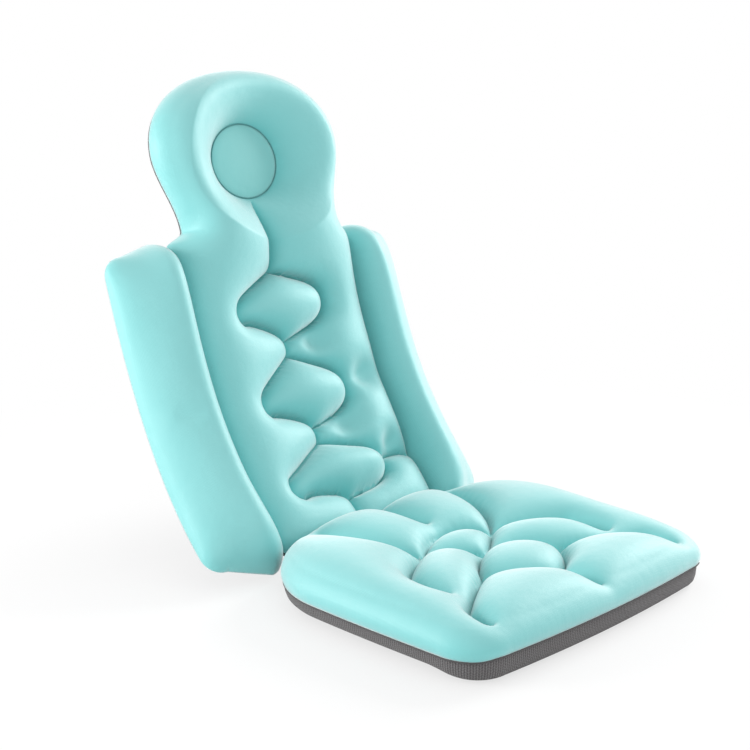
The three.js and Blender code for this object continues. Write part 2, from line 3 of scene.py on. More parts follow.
import bpy
import numpy as np
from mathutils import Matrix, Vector

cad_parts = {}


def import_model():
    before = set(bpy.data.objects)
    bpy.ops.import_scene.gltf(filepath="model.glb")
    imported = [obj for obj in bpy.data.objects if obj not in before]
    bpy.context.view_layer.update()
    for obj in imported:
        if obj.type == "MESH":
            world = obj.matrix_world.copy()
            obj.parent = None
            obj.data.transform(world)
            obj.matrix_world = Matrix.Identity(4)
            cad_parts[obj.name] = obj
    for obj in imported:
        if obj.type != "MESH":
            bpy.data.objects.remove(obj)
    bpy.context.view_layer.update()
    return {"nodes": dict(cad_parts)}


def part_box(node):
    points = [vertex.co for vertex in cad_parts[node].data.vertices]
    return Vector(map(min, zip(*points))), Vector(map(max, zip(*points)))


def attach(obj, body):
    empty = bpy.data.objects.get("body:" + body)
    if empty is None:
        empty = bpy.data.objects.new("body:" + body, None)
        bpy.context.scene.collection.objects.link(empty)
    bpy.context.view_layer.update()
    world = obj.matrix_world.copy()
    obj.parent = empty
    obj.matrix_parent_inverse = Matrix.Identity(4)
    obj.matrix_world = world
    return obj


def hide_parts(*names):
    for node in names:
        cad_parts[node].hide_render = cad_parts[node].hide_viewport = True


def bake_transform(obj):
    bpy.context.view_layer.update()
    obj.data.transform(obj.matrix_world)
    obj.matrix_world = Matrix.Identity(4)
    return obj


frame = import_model()

# Sizes in metres, close to the part's source. X runs across, t along a panel, h out from its base.
SEAT_WIDTH = 0.440
SEAT_DEPTH = 0.374
SEAT_REAR_CORNER = 0.133
SEAT_FRONT_CORNER = 0.048
SEAT_FRONT_BOW = 0.007
SEAT_SIDE_BOW = 0.005
BAND_HEIGHT = 0.022
REAR_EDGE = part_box("seat_base_mesh")[1].y
BASE_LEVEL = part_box("seat_base_mesh")[0].z
COVER_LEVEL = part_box("seat_quilted_top")[0].z

BACK_LENGTH = 0.677
BACK_FOOT = 0.008
PANEL_HALF = 0.150
FOOT_HALF = 0.140
FOOT_LENGTH = 0.136
FOOT_CORNER = 0.026
NECK_LENGTH = 0.469
NECK_HALF = 0.123
SHOULDER = 0.018
HEAD_WIDEST = 0.572
HEAD_HALF = 0.152
HEAD_POWER = 2.15
BACK_SHEET = 0.004
COVER_FOOT = 0.003
FOOT_ROOM, FOOT_ROOM_REACH = 0.005, 0.02

# The back's curve: where it starts behind and above the seat's rear edge, and how it leans in radians
BACK_START = (-0.0003, 0.0137)
LEAN_AT_NECK = 0.2132
LEAN_GROWTH = 0.2196
LEAN_CURL = 0.5956

RECESS_LENGTH = 0.557
RECESS_HALF_WIDTH = 0.056
RECESS_HALF_LENGTH = 0.051
RING_SLOPE, RING_ROUNDNESS = 0.062, 0.58
OVAL_EDGE = 1.004

WING_OUTER = 0.246
WING_DRAWN_IN = 0.006
WING_LENGTH = 0.458
WING_TOP_SLANT = 0.012
WING_FOOT_SLANT = 0.024
WING_CORNER = 0.026
WING_SEAM_GAP = 0.00075
WING_SHEET_BACK = -0.005
WING_SHEET_TOP = -0.0034

# Share of a round corner's radius between the square corner and the middle of its arc, along each side
CORNER_SHARE = 1 - math.sqrt(0.5)

# Sewn seams of the seat as shares of its half width and depth. Three points bend towards the middle one.
SEAT_SEAMS = [
    [(0, 0.02), (0, 0.34)],
    [(0.28, 0.413), (0.14, 0.34), (0, 0.34)],
    [(0.28, 0.413), (0.13, 0.492), (0, 0.53)],
    [(0.535, 0.09), (0.5, 0.308), (0.28, 0.413)],
    [(0.28, 0.413), (0.45, 0.45), (0.655, 0.551)],
    [(0.655, 0.551), (0.69, 0.633), (0.68, 0.717)],
    [(0, 0.53), (0.17, 0.565), (0.318, 0.673)],
    [(0.318, 0.673), (0.2, 0.79), (0, 0.816)],
    [(0.318, 0.673), (0.5, 0.733), (0.745, 0.832)],
    [(0.745, 0.832), (0.77, 0.874), (0.782, 0.932)],
    [(0, 0.816), (0, 0.963)],
]

# Edges of the back's lens-shaped lobes in metres, from the middle to the tip and from the tip to the middle.
# The left halves get lower tips, and the right halves are narrower with lower edges that hang.
LENS_UPPER = [
    [(0, 0.403), (0.010, 0.399), (0.026, 0.394), (0.045, 0.388)]
    + [(0.063, 0.380), (0.074, 0.370), (0.077, 0.359)],
    [(0, 0.283), (0.010, 0.277), (0.026, 0.269), (0.045, 0.260)]
    + [(0.062, 0.250), (0.073, 0.239), (0.076, 0.226)],
    [(0, 0.153), (0.010, 0.148), (0.027, 0.142), (0.047, 0.135)]
    + [(0.067, 0.127), (0.082, 0.117), (0.087, 0.105)],
]
LENS_LOWER = [
    [(0.077, 0.359), (0.074, 0.349), (0.064, 0.340), (0.050, 0.333)]
    + [(0.035, 0.327), (0.020, 0.320), (0.008, 0.312), (0, 0.303)],
    [(0.076, 0.226), (0.073, 0.215), (0.063, 0.207), (0.049, 0.201)]
    + [(0.034, 0.196), (0.019, 0.190), (0.008, 0.184), (0, 0.176)],
    [(0.087, 0.105), (0.085, 0.095), (0.075, 0.088), (0.059, 0.083)]
    + [(0.041, 0.079), (0.024, 0.075), (0.010, 0.070), (0, 0.062)],
]
LENS_TIP_DROP = 0.010
UPPER_DROP_START, UPPER_DROP_SPAN = 0.0, 0.070
LOWER_DROP_START, LOWER_DROP_SPAN = 0.052, 0.024
LENS_RIGHT_SHARE = 0.96
LENS_SAG = 0.013
SAG_DIRECTION = (0.45, -0.89)
SAG_ROUNDNESS = 0.8

RIGHT_FOOT_SEAM = [(0.084, 0.100), (0.098, 0.108), (0.120, 0.109), (0.140, 0.103)]
CENTRE_SEAMS = [
    [(0, 0.508), (0, 0.403)],
    [(0, 0.303), (0, 0.283)],
    [(0, 0.176), (0, 0.153)],
    [(0, 0.062), (0, 0.026)],
]

# Shallow hollows to the right of the lobes: x, t and size in metres
HOLLOWS = [(0.042, 0.296, 0.019), (0.105, 0.234, 0.023), (0.048, 0.169, 0.023), (0.110, 0.124, 0.018)]
HOLLOW_DEPTH = 0.47

# The seat's cover over its base: how far it hangs, and how far it stands proud as a share of its place
SIDE_HANG, FRONT_HANG = 0.0070, 0.0042
SIDE_PROUD, FRONT_PROUD = 0.009, 0.006
HANG_HEIGHT, HANG_REAR_SPAN = 0.022, 0.06
BAND_SAG = 0.0065

# Where a change starts and over what span: as shares of the seat, then in metres on the back
SIDE_HANG_FADE, FRONT_HANG_FADE, BAND_SAG_FADE = (0.72, 0.24), (0.74, 0.22), (0.80, 0.18)
FOOT_FADE, BESIDE_LENS_FADE, ACROSS_LENS_FADE = (0.024, 0.08), (0.004, 0.034), (0.020, 0.035)

# The same, measured from the neck's start
NECK_FADE, HEAD_FADE = (-0.055, 0.04), (0.02, 0.05)

# How hard the filling pushes, and how far the cloth passes that on in metres
SEAT_PUSH, SEAT_REACH = 2.9, 0.036
FOOT_PUSH, PANEL_PUSH, BESIDE_LENS = 1.45, 2.7, 1.75
LENS_LEFT_PUSH, LENS_RIGHT_PUSH = 4.4, 7.5
NECK_PUSH, HEAD_PUSH, BACK_REACH = 4.4, 4.0, 0.052
WING_EDGE_PUSH, WING_PUSH, WING_REACH = 0.1, 12.0, 0.30
WING_CREST_START, WING_CREST_SPAN = 0.052, 0.016
WING_FOOT_SHARE, WING_FOOT_SPAN = 0.6, 0.16

# How many cells near a rim are finer, and how a cushion's seams, sides and gathers take shape
RIM_CELLS, SHEET_RIM_CELLS = 14, 6
SEAT_VALLEY, BACK_VALLEY = 0.0065, 0.006
VALLEY_REACH, VALLEY_LEAST = 0.03, 0.35
SEAT_BULGE, HEAD_BULGE, WING_BULGE = 0.0045, 0.002, 0.0015
SEAT_BULGE_LEVEL, BACK_BULGE_LEVEL, WING_BULGE_LEVEL = 0.026, 0.035, 0.06
BULGE_REACH = 0.03
SEAT_GATHER, BACK_GATHER = 0.0005, 0.0003
SEAM_CLEARANCE = 0.004
GATHER_PITCH, GATHER_REACH = 0.0105, 0.009
FAR_FROM_SEAM = 0.02

# The cloth simulation, on every third point of a cushion's grid
SWELL_STEP, SWELL_FRAMES, SWELL_CAP = 3, 20, 0.004
SWELL_HELD, SWELL_FADE = 0.003, 0.012
SWELL_SETTINGS = {
    "quality": 6,
    "mass": 0.2,
    "tension_stiffness": 16,
    "compression_stiffness": 16,
    "shear_stiffness": 5,
    "bending_stiffness": 6,
    "use_pressure": True,
    "uniform_pressure_force": 2.5,
}

# The fold cloth between the seat's rear edge and the back's foot
FOLD_WIDTH, FOLD_COLUMNS = 0.166, 84
FOLD_HALF_THICKNESS = 0.0006
FOLD_TOP, FOLD_LOW = 0.0190, 0.0058

# Suction cups: places across and along a panel in metres, and profiles of radius and level in millimetres
SEAT_CUPS = (("rear", 0.110, 0.026), ("front", 0.152, 0.306))
BACK_CUPS = (("back_lower", 0.131), ("back_upper", 0.371), ("head", 0.574))
BACK_CUP_ACROSS, BACK_CUP_OUT = 0.092, -0.014
SEAT_CUP_NECK, BACK_CUP_NECK = 15.8, 16.1
CUP_LIP = [(0, 3.4), (6, 3.3), (12, 2.9), (17, 2.25), (21, 1.35), (23.4, 0.6), (24.6, 0.14), (25.3, 0.0)]
CUP_SKIRT = [(25.82, 0.24), (26, 0.75), (25.75, 1.35), (24.4, 2.0), (22, 2.9), (18.7, 4.4), (15, 5.95)]
CUP_NECK = [(11.7, 7.4), (9.7, 8.4), (8.5, 9.05), (8.0, 9.4), (7.6, 9.7)]
CUP_NECK += [(5.5, 9.75), (5.05, 10.0), (5, 10.5)]
CUP_HEAD = [(5, -0.3), (5.3, 0), (8.5, 0.1), (8.95, 0.5), (8.9, 1.4), (8.3, 2.5), (7.2, 2.95), (0, 3.0)]

# Studio: the camera's place is measured from the seat's rear edge and base
CAMERA_PLACE = (-1.1471, -1.1536, 0.5842)
CAMERA_AZIMUTH, CAMERA_ELEVATION = -45.08, 12.42
CAMERA_LENS, CAMERA_SENSOR = 62.743, 36.0
FLOOR_HALF = 9
FLOOR_GLOW = 0.7
FLOOR_NEAR, FLOOR_FADE = 0.35, 1.4
WORLD_LEVEL = 0.74


def smooth(share):
    s = np.clip(share, 0, 1)
    return s * s * (3 - 2 * s)


def fade_in(value, start, span):
    """0 up to start, 1 from start + span on, and smooth between them."""
    return smooth((value - start) / span)


def mix(a, b, share):
    return a + (b - a) * share


def round_end(distance, radius):
    """How far a round corner draws a side in, at some distances from its end."""
    left = radius - np.clip(distance, 0, radius)
    return radius - np.sqrt(radius * radius - left * left)


# Outlines: closed loops of (x, t), counter-clockwise from the right end of the near edge


def loop_from_side(half, t):
    """Closed loop from the right side's half widths at rising places t."""
    right = np.stack([half, t], 1)
    left = np.stack([-half[::-1], t[::-1]], 1)
    return np.concatenate([right, left, right[:1]])


def seat_outline():
    share = (1 - np.cos(np.pi * np.linspace(0, 1, 260))) / 2
    t = SEAT_DEPTH * share
    half = SEAT_WIDTH / 2 - round_end(t, SEAT_REAR_CORNER) - round_end(SEAT_DEPTH - t, SEAT_FRONT_CORNER)
    half = half + SEAT_SIDE_BOW * np.sin(np.pi * share)
    front_x = np.linspace(half[-1], -half[-1], 60)[1:-1]
    front_bow = SEAT_FRONT_BOW * (1 - (front_x / half[-1]) ** 2)
    right = np.stack([half, t], 1)
    front = np.stack([front_x, np.full_like(front_x, SEAT_DEPTH) + front_bow], 1)
    left = right[::-1] * [-1, 1]
    return np.concatenate([right, front, left, right[:1]])


def seam_half_width(t):
    """Half width at the seam between the back and its bolsters."""
    return mix(FOOT_HALF, PANEL_HALF, smooth(t / FOOT_LENGTH))


def back_half_width(t):
    low = mix(seam_half_width(t), NECK_HALF, smooth((t - NECK_LENGTH + SHOULDER) / SHOULDER))
    low = low - round_end(t - BACK_FOOT, FOOT_CORNER)
    middle = mix(NECK_HALF, HEAD_HALF, smooth((t - NECK_LENGTH) / (HEAD_WIDEST - NECK_LENGTH)))
    up = np.clip((t - HEAD_WIDEST) / (BACK_LENGTH - HEAD_WIDEST), 0, 1)
    high = HEAD_HALF * (1 - up**HEAD_POWER) ** (1 / HEAD_POWER)
    return np.where(t < NECK_LENGTH, low, np.where(t < HEAD_WIDEST, middle, high))


def back_outline(inset=0.0):
    low = BACK_FOOT + FOOT_CORNER * (1 - np.cos(np.linspace(0, np.pi / 2, 40)))
    middle = np.linspace(low[-1], HEAD_WIDEST, 300)[1:]
    high = HEAD_WIDEST + (BACK_LENGTH - HEAD_WIDEST) * np.sin(np.linspace(0, np.pi / 2, 160))[1:]
    t = np.concatenate([low, middle, high])
    loop = loop_from_side(back_half_width(t), t)
    return shrink(loop, inset) if inset else loop


def wing_outline(inset=0.0):
    """The right bolster. u runs from its seam to its outer edge, and v from its foot to its top."""
    v = (1 - np.cos(np.pi * np.linspace(0, 1, 200))) / 2

    def side(u):
        start, top = WING_FOOT_SLANT * u, WING_LENGTH - WING_TOP_SLANT * u
        t = mix(start, top, v)
        pull = round_end(np.minimum(t - start, top - t), WING_CORNER)
        inner = seam_half_width(t) + WING_SEAM_GAP + pull
        outer = WING_OUTER - WING_DRAWN_IN * np.sin(np.pi * v) - pull
        return np.stack([mix(inner, outer, u), t], 1)

    inner, outer = side(0.0), side(1.0)
    loop = np.concatenate([outer, inner[::-1], outer[:1]])
    return shrink(loop, inset) if inset else loop


def normals_of(loop):
    """Outward normals of a counter-clockwise loop."""
    ahead = np.roll(loop[:-1], -1, 0) - np.roll(loop[:-1], 1, 0)
    n = np.stack([ahead[:, 1], -ahead[:, 0]], 1)
    n /= np.linalg.norm(n, axis=1, keepdims=True) + 1e-12
    return np.concatenate([n, n[:1]])


def shrink(loop, inset):
    return loop - normals_of(loop) * inset


# Seams and distances


def curve(points, steps=24):
    """A straight line between two points, an arc that three give, or a smooth line through more."""
    if len(points) == 2:
        return np.array(points, float)
    if len(points) > 3:
        return through(np.array(points, float))
    a, b, c = (np.array(p, float) for p in points)
    s = np.linspace(0, 1, steps + 1)[:, None]
    return (1 - s) ** 2 * a + 2 * s * (1 - s) * b + s**2 * c


def through(points, steps=5):
    """Smooth line through some points."""
    before, after = 2 * points[0] - points[1], 2 * points[-1] - points[-2]
    p = np.concatenate([[before], points, [after]])
    s = np.linspace(0, 1, steps, endpoint=False)[:, None]
    line = []
    for a, b, c, d in zip(p, p[1:], p[2:], p[3:]):
        line.append(b + 0.5 * s * (c - a + s * (2 * a - 5 * b + 4 * c - d + s * (3 * (b - c) + d - a))))
    return np.concatenate([*line, points[-1:]])


def inside_loop(p, loop):
    """Which points lie inside a closed loop."""
    inside = np.zeros(len(p), bool)
    for a, b in zip(loop, np.roll(loop, -1, 0)):
        crosses = (a[1] > p[:, 1]) != (b[1] > p[:, 1])
        at = a[0] + (p[:, 1] - a[1]) * (b[0] - a[0]) / (b[1] - a[1] if b[1] != a[1] else 1.0)
        inside ^= crosses & (p[:, 0] < at)
    return inside


def lower_tip(line, start, span):
    """The left half of a lens's edge, which drops towards its tip."""
    drop = LENS_TIP_DROP * fade_in(line[:, 0], start, span)
    return np.stack([-line[:, 0], line[:, 1] - drop], 1)


def hanging(line, sag):
    """The right half of a lens's edge, a little narrower than given and sagging between its ends."""
    share = np.linspace(0, 1, len(line))
    hang = np.sin(np.pi * share)[:, None] ** SAG_ROUNDNESS * np.multiply(SAG_DIRECTION, sag)
    return line * [LENS_RIGHT_SHARE, 1] + hang


def lens_edges():
    """The edges of the lobes: left upper, left lower, right upper and right lower."""
    upper, lower = [curve(line) for line in LENS_UPPER], [curve(line) for line in LENS_LOWER]
    return (
        [lower_tip(line, UPPER_DROP_START, UPPER_DROP_SPAN) for line in upper],
        [lower_tip(line, LOWER_DROP_START, LOWER_DROP_SPAN) for line in lower],
        [hanging(line, 0) for line in upper],
        [hanging(line, LENS_SAG) for line in lower],
    )


def lens_loops():
    """The closed outlines of the lens-shaped lobes down the middle of the back."""
    loops = []
    for left_upper, left_lower, right_upper, right_lower in zip(*lens_edges()):
        left = np.concatenate([left_upper, left_lower])
        loops.append(np.concatenate([right_upper, right_lower, left[::-1]]))
    return loops


def back_seams():
    edges = [line for group in lens_edges() for line in group]
    return edges + [curve(line) for line in CENTRE_SEAMS + [RIGHT_FOOT_SEAM]]


def seam_chains(shares, across, along):
    """Seams given as shares of a panel, with a mirror image of each that leaves the middle."""
    chains = []
    for seam in shares:
        line = curve(seam) * [across, along]
        chains.append(line)
        if line[:, 0].max() > 1e-9:
            chains.append(line * [-1, 1])
    return chains


def nearest(points, chains):
    """Distance from each point to some chains, the place there, and how far along the chain it lies."""
    best = np.full(len(points), np.inf)
    place = points.copy()
    run = np.zeros(len(points))
    for chain in chains:
        walked = 0.0
        for a, b in zip(chain[:-1], chain[1:]):
            d = b - a
            length = math.hypot(*d)
            if length < 1e-9:
                continue
            s = np.clip(((points - a) @ d) / length**2, 0, 1)
            near = a + s[:, None] * d
            distance = np.hypot(*(points - near).T)
            closer = distance < best
            best[closer] = distance[closer]
            place[closer] = near[closer]
            run[closer] = walked + s[closer] * length
            walked += length
    return best, place, run


# Patches: a grid fitted to an outline between four corners


def eased(count, ramp):
    """Places from 0 to 1 whose steps widen evenly over the first cells and narrow over the last."""
    k = np.arange(count) + 0.5
    width = np.minimum(1, np.minimum(k, count - k) / ramp)
    return np.concatenate([[0], np.cumsum(width)]) / width.sum()


def along_loop(line, shares):
    """Points at some shares of a line's length."""
    lengths = np.concatenate([[0], np.cumsum(np.hypot(*np.diff(line, axis=0).T))])
    at = shares * lengths[-1]
    return np.stack([np.interp(at, lengths, line[:, 0]), np.interp(at, lengths, line[:, 1])], 1)


def split_loop(loop, corners):
    """Four stretches of a loop between the points nearest to four corners, in order."""
    found = [int(np.argmin(np.hypot(*(loop[:-1] - c).T))) for c in corners]
    ring = loop[:-1]
    stretches = []
    for a, b in zip(found, found[1:] + found[:1]):
        end = b if b > a else b + len(ring)
        stretches.append(ring[np.arange(a, end + 1) % len(ring)])
    return stretches


def patch_grid(loop, corners, columns, rows, ramp):
    """Grid of (x, t) points, rows first, blended between the four stretches of an outline."""
    near, right, far, left = split_loop(loop, corners)
    us, vs = eased(columns, ramp), eased(rows, ramp)
    low, high = along_loop(near, us), along_loop(far[::-1], us)
    left_side, right_side = along_loop(left[::-1], vs), along_loop(right, vs)
    u, v = us[None, :, None], vs[:, None, None]
    grid = (1 - v) * low[None] + v * high[None] + (1 - u) * left_side[:, None] + u * right_side[:, None]
    corner = (1 - u) * (1 - v) * low[0] + u * (1 - v) * low[-1] + (1 - u) * v * high[0] + u * v * high[-1]
    return grid - corner


# Cloth that a soft filling pushes out between its seams: the square of its height obeys a membrane's law


def cotangents(a, b, c):
    """Half the cotangent of the angle at c in triangles a, b, c, with flat ones left out."""
    p, q = a - c, b - c
    cross = p[..., 0] * q[..., 1] - p[..., 1] * q[..., 0]
    dot = (p * q).sum(-1)
    size = np.abs(cross)
    usable = size > 1e-10
    return np.where(usable, 0.5 * dot / np.where(usable, size, 1), 0.0)


def membrane(grid, fixed, value, push, reach):
    """Solves the membrane over a grid with some points fixed. push may vary from point to point."""
    a, b, c, d = grid[:-1, :-1], grid[:-1, 1:], grid[1:, 1:], grid[1:, :-1]
    rows, columns = grid.shape[:2]
    east, north = np.zeros((rows, columns - 1)), np.zeros((rows - 1, columns))
    climb, fall = np.zeros((rows - 1, columns - 1)), np.zeros((rows - 1, columns - 1))
    east[:-1] += 0.5 * (cotangents(a, b, c) + cotangents(a, b, d))
    east[1:] += 0.5 * (cotangents(d, c, a) + cotangents(d, c, b))
    north[:, :-1] += 0.5 * (cotangents(a, d, c) + cotangents(a, d, b))
    north[:, 1:] += 0.5 * (cotangents(b, c, a) + cotangents(b, c, d))
    climb += 0.5 * (cotangents(a, c, b) + cotangents(a, c, d))
    fall += 0.5 * (cotangents(b, d, a) + cotangents(b, d, c))
    for weights in (east, north, climb, fall):
        np.clip(weights, -2, 60, out=weights)
    p, q = b - a, d - a
    cell = np.abs(p[..., 0] * q[..., 1] - p[..., 1] * q[..., 0])
    area = np.zeros((rows, columns))
    for part in (area[:-1, :-1], area[:-1, 1:], area[1:, 1:], area[1:, :-1]):
        part += cell / 4

    def stiffness(x):
        y = area * x / reach**2
        f = east * (x[:, :-1] - x[:, 1:])
        y[:, :-1] += f
        y[:, 1:] -= f
        f = north * (x[:-1] - x[1:])
        y[:-1] += f
        y[1:] -= f
        f = climb * (x[:-1, :-1] - x[1:, 1:])
        y[:-1, :-1] += f
        y[1:, 1:] -= f
        f = fall * (x[:-1, 1:] - x[1:, :-1])
        y[:-1, 1:] += f
        y[1:, :-1] -= f
        return y

    diagonal = area / reach**2
    for weights, one, two in (
        (east, np.s_[:, :-1], np.s_[:, 1:]),
        (north, np.s_[:-1], np.s_[1:]),
        (climb, np.s_[:-1, :-1], np.s_[1:, 1:]),
        (fall, np.s_[:-1, 1:], np.s_[1:, :-1]),
    ):
        diagonal[one] += weights
        diagonal[two] += weights
    scale = np.where(diagonal > 1e-9, 1 / np.maximum(diagonal, 1e-9), 0) * ~fixed
    x = np.where(fixed, value, 0.0)
    left = (area * push - stiffness(x)) * ~fixed
    z = scale * left
    step = z.copy()
    before = (left * z).sum()
    start = before
    for _ in range(1600):
        force = stiffness(step) * ~fixed
        length = before / max((step * force).sum(), 1e-30)
        x += length * step
        left -= length * force
        z = scale * left
        now = (left * z).sum()
        if now < 1e-12 * start:
            break
        step = z + (now / before) * step
        before = now
    return np.maximum(x, 0)


def folded_triangles(rows, columns, on_seam):
    """Two triangles a cell. Their fold joins the corners that lie on a seam, where two of them do."""
    index = np.arange(rows * columns).reshape(rows, columns)
    a, b, c, d = index[:-1, :-1], index[:-1, 1:], index[1:, 1:], index[1:, :-1]
    s = on_seam.astype(int)
    other = (s[:-1, 1:] + s[1:, :-1]) > (s[:-1, :-1] + s[1:, 1:])
    one = np.where(other[..., None], np.stack([a, b, d], -1), np.stack([a, b, c], -1))
    two = np.where(other[..., None], np.stack([b, c, d], -1), np.stack([a, c, d], -1))
    return np.concatenate([one.reshape(-1, 3), two.reshape(-1, 3)])


def mesh_object(name, points, faces, material, mirrored=False, smooth_count=None, cloth=None):
    """Mesh from points and faces. The first smooth_count faces are shaded smooth, or all where none is given.

    mirrored turns the faces over, for places that mirror an outline.
    """
    faces = [list(map(int, f)) for f in faces]
    if mirrored:
        faces = [f[::-1] for f in faces]
    mesh = bpy.data.meshes.new(name)
    mesh.from_pydata([tuple(p) for p in points], [], faces)
    flags = np.ones(len(faces), bool)
    if smooth_count is not None:
        flags[smooth_count:] = False
    mesh.polygons.foreach_set("use_smooth", flags)
    if cloth is not None:
        attribute = mesh.attributes.new("cloth", "FLOAT_VECTOR", "POINT")
        attribute.data.foreach_set("vector", np.asarray(cloth, np.float32).ravel())
    mesh.update()
    mesh.validate()
    if material is not None:
        mesh.materials.append(material)
    made = bpy.data.objects.new(name, mesh)
    bpy.context.scene.collection.objects.link(made)
    return made


def closed_faces(rows, columns, on_seam):
    """Faces of a cushion's top, and of the flat underside that closes it, one strip a row."""
    top = folded_triangles(rows, columns, on_seam)
    index = np.arange(rows * columns).reshape(rows, columns)
    under = [[index[j + 1, 0], index[j + 1, -1], index[j, -1], index[j, 0]] for j in range(1, rows - 2)]
    under.append([index[1, 0], index[1, -1]] + [index[0, i] for i in range(columns - 1, -1, -1)])
    under.append([index[-1, i] for i in range(columns)] + [index[-2, -1], index[-2, 0]])
    return top, under


def swell(points, held, mirrored):
    """How far a cushion's cloth moves in a simulation where the filling presses on it and its seams hold."""
    coarse, pinned = points[::SWELL_STEP, ::SWELL_STEP], held[::SWELL_STEP, ::SWELL_STEP]
    rows, columns = pinned.shape
    index = np.arange(rows * columns).reshape(rows, columns)
    cells = np.stack([index[:-1, :-1], index[:-1, 1:], index[1:, 1:], index[1:, :-1]], -1).reshape(-1, 4)
    start = coarse.reshape(-1, 3)
    cloth = mesh_object("swelling", start, cells, None, mirrored=mirrored)
    group = cloth.vertex_groups.new(name="held")
    group.add([int(i) for i in index[pinned]], 1.0, "REPLACE")
    press = cloth.modifiers.new("press", "CLOTH")
    for key, value in SWELL_SETTINGS.items():
        setattr(press.settings, key, value)
    press.settings.vertex_group_mass = "held"
    press.settings.effector_weights.gravity = 0
    press.collision_settings.use_collision = False
    press.point_cache.frame_start, press.point_cache.frame_end = 1, SWELL_FRAMES
    for frame_number in range(1, SWELL_FRAMES + 1):
        bpy.context.scene.frame_set(frame_number)
    worked = cloth.evaluated_get(bpy.context.evaluated_depsgraph_get())
    end = np.empty(len(start) * 3)
    worked.data.vertices.foreach_get("co", end)
    move = end.reshape(-1, 3) - start
    far = np.linalg.norm(move, axis=1, keepdims=True)
    move = (move * np.minimum(1, SWELL_CAP / np.maximum(far, 1e-9))).reshape(rows, columns, 3)
    mesh = cloth.data
    bpy.data.objects.remove(cloth)
    bpy.data.meshes.remove(mesh)
    bpy.context.scene.frame_set(1)
    for axis in (0, 1):
        count = points.shape[axis]
        at = np.arange(count) / SWELL_STEP
        low = np.minimum(at.astype(int), move.shape[axis] - 2)
        share = (at - low).reshape((-1, 1, 1) if axis == 0 else (1, -1, 1))
        move = mix(move.take(low, axis), move.take(low + 1, axis), share)
    return move.reshape(-1, 3)


def gathers(gap, run, depth):
    """Small folds that run out from a sewn line, uneven along it."""
    crests = np.sin(run * 2 * np.pi / GATHER_PITCH + 2.2 * np.sin(run * 61.0))
    crests = crests * (0.6 + 0.4 * np.sin(run * 37.0 + 1.3))
    return depth * crests * np.exp(-gap / GATHER_REACH) * smooth(gap / SEAM_CLEARANCE)


def bulged(flat, height, rim_gap, rim_place, amount, level):
    """Moves a cushion's sides out over its rim, most where they are half as high as level."""
    q = np.clip(height / level, 0, 1)
    inward = flat - rim_place
    size = np.hypot(*inward.T)
    direction = -inward / np.maximum(size, 1e-9)[:, None]
    near_rim = np.clip(1 - rim_gap / BULGE_REACH, 0, 1)
    return flat + direction * (4 * q * (1 - q) * near_rim * amount(flat))[:, None]


def cushion(
    name,
    loop,
    corners,
    counts,
    seams,
    push,
    reach,
    place,
    valley=0.0,
    edges=(),
    laid_flat=None,
    ramp=None,
    bulge=None,
    gather=0.0,
    mirrored=False,
):
    """A quilted cushion over an outline, with its cloth drawn down along the seams.

    push is how hard the filling presses at some places, and reach how far the cloth passes that on. valley is
    the cloth's height at a seam. laid_flat says where the cloth has no height, and ramp is a factor on it.
    """
    columns, rows = counts
    grid = patch_grid(loop, corners, columns, rows, RIM_CELLS)
    shape = grid.shape[:2]
    flat = grid.reshape(-1, 2)
    rim = np.zeros(shape, bool)
    rim[0] = rim[-1] = True
    rim[:, 0] = rim[:, -1] = True
    rim = rim.ravel()
    seam_gap, seam_place, run = nearest(flat, [*seams, *edges])
    step = np.hypot(*(grid[shape[0] // 2, shape[1] // 2] - grid[shape[0] // 2, shape[1] // 2 + 1]))
    on_seam = (seam_gap < 0.5 * step) & ~rim
    flat = np.where(on_seam[:, None], seam_place, flat)
    rim_gap, rim_place, _ = nearest(flat, [loop])
    fixed = rim | on_seam
    depth = valley * np.clip(rim_gap / VALLEY_REACH, VALLEY_LEAST, 1)
    value = np.where(on_seam, depth**2, 0.0)
    if laid_flat:
        inside = laid_flat(flat)
        fixed = fixed | inside
        value = np.where(inside, 0.0, value)
    square = membrane(
        flat.reshape(*shape, 2), fixed.reshape(shape), value.reshape(shape), push(flat).reshape(shape), reach
    )
    height = np.sqrt(np.maximum(square, 0)).ravel()
    if ramp:
        height = height * ramp(flat)
    height = np.where(rim, 0.0, height) + gathers(seam_gap, run, gather) * (height > 0)
    if bulge:
        flat = bulged(flat, height, rim_gap, rim_place, *bulge)
    points = place(flat[:, 0], flat[:, 1], height)
    held_gap = np.minimum(seam_gap, rim_gap)
    held = fixed | (held_gap < SWELL_HELD)
    loose = smooth(held_gap / SWELL_FADE)[:, None]
    points = points + swell(points.reshape(*shape, 3), held.reshape(shape), mirrored) * loose
    top, under = closed_faces(*shape, on_seam.reshape(shape))
    # Distance to a seam or the rim, which the knit's painted crease shade reads.
    crease_gap = np.minimum(seam_gap, rim_gap + SEAM_CLEARANCE)
    return mesh_object(
        name,
        points,
        list(top) + under,
        material=AQUA_KNIT,
        mirrored=mirrored,
        smooth_count=len(top),
        cloth=np.stack([flat[:, 0], flat[:, 1], crease_gap], 1),
    )


# Places on the back and the seat, in the object's own frame

BACK_STEPS = np.linspace(-0.02, 0.70, 2881)


def lean_at(t):
    """How far the back leans from upright, in radians."""
    below = np.maximum(1 - t / NECK_LENGTH, 0)
    return LEAN_AT_NECK + LEAN_GROWTH * below + LEAN_CURL * below**2


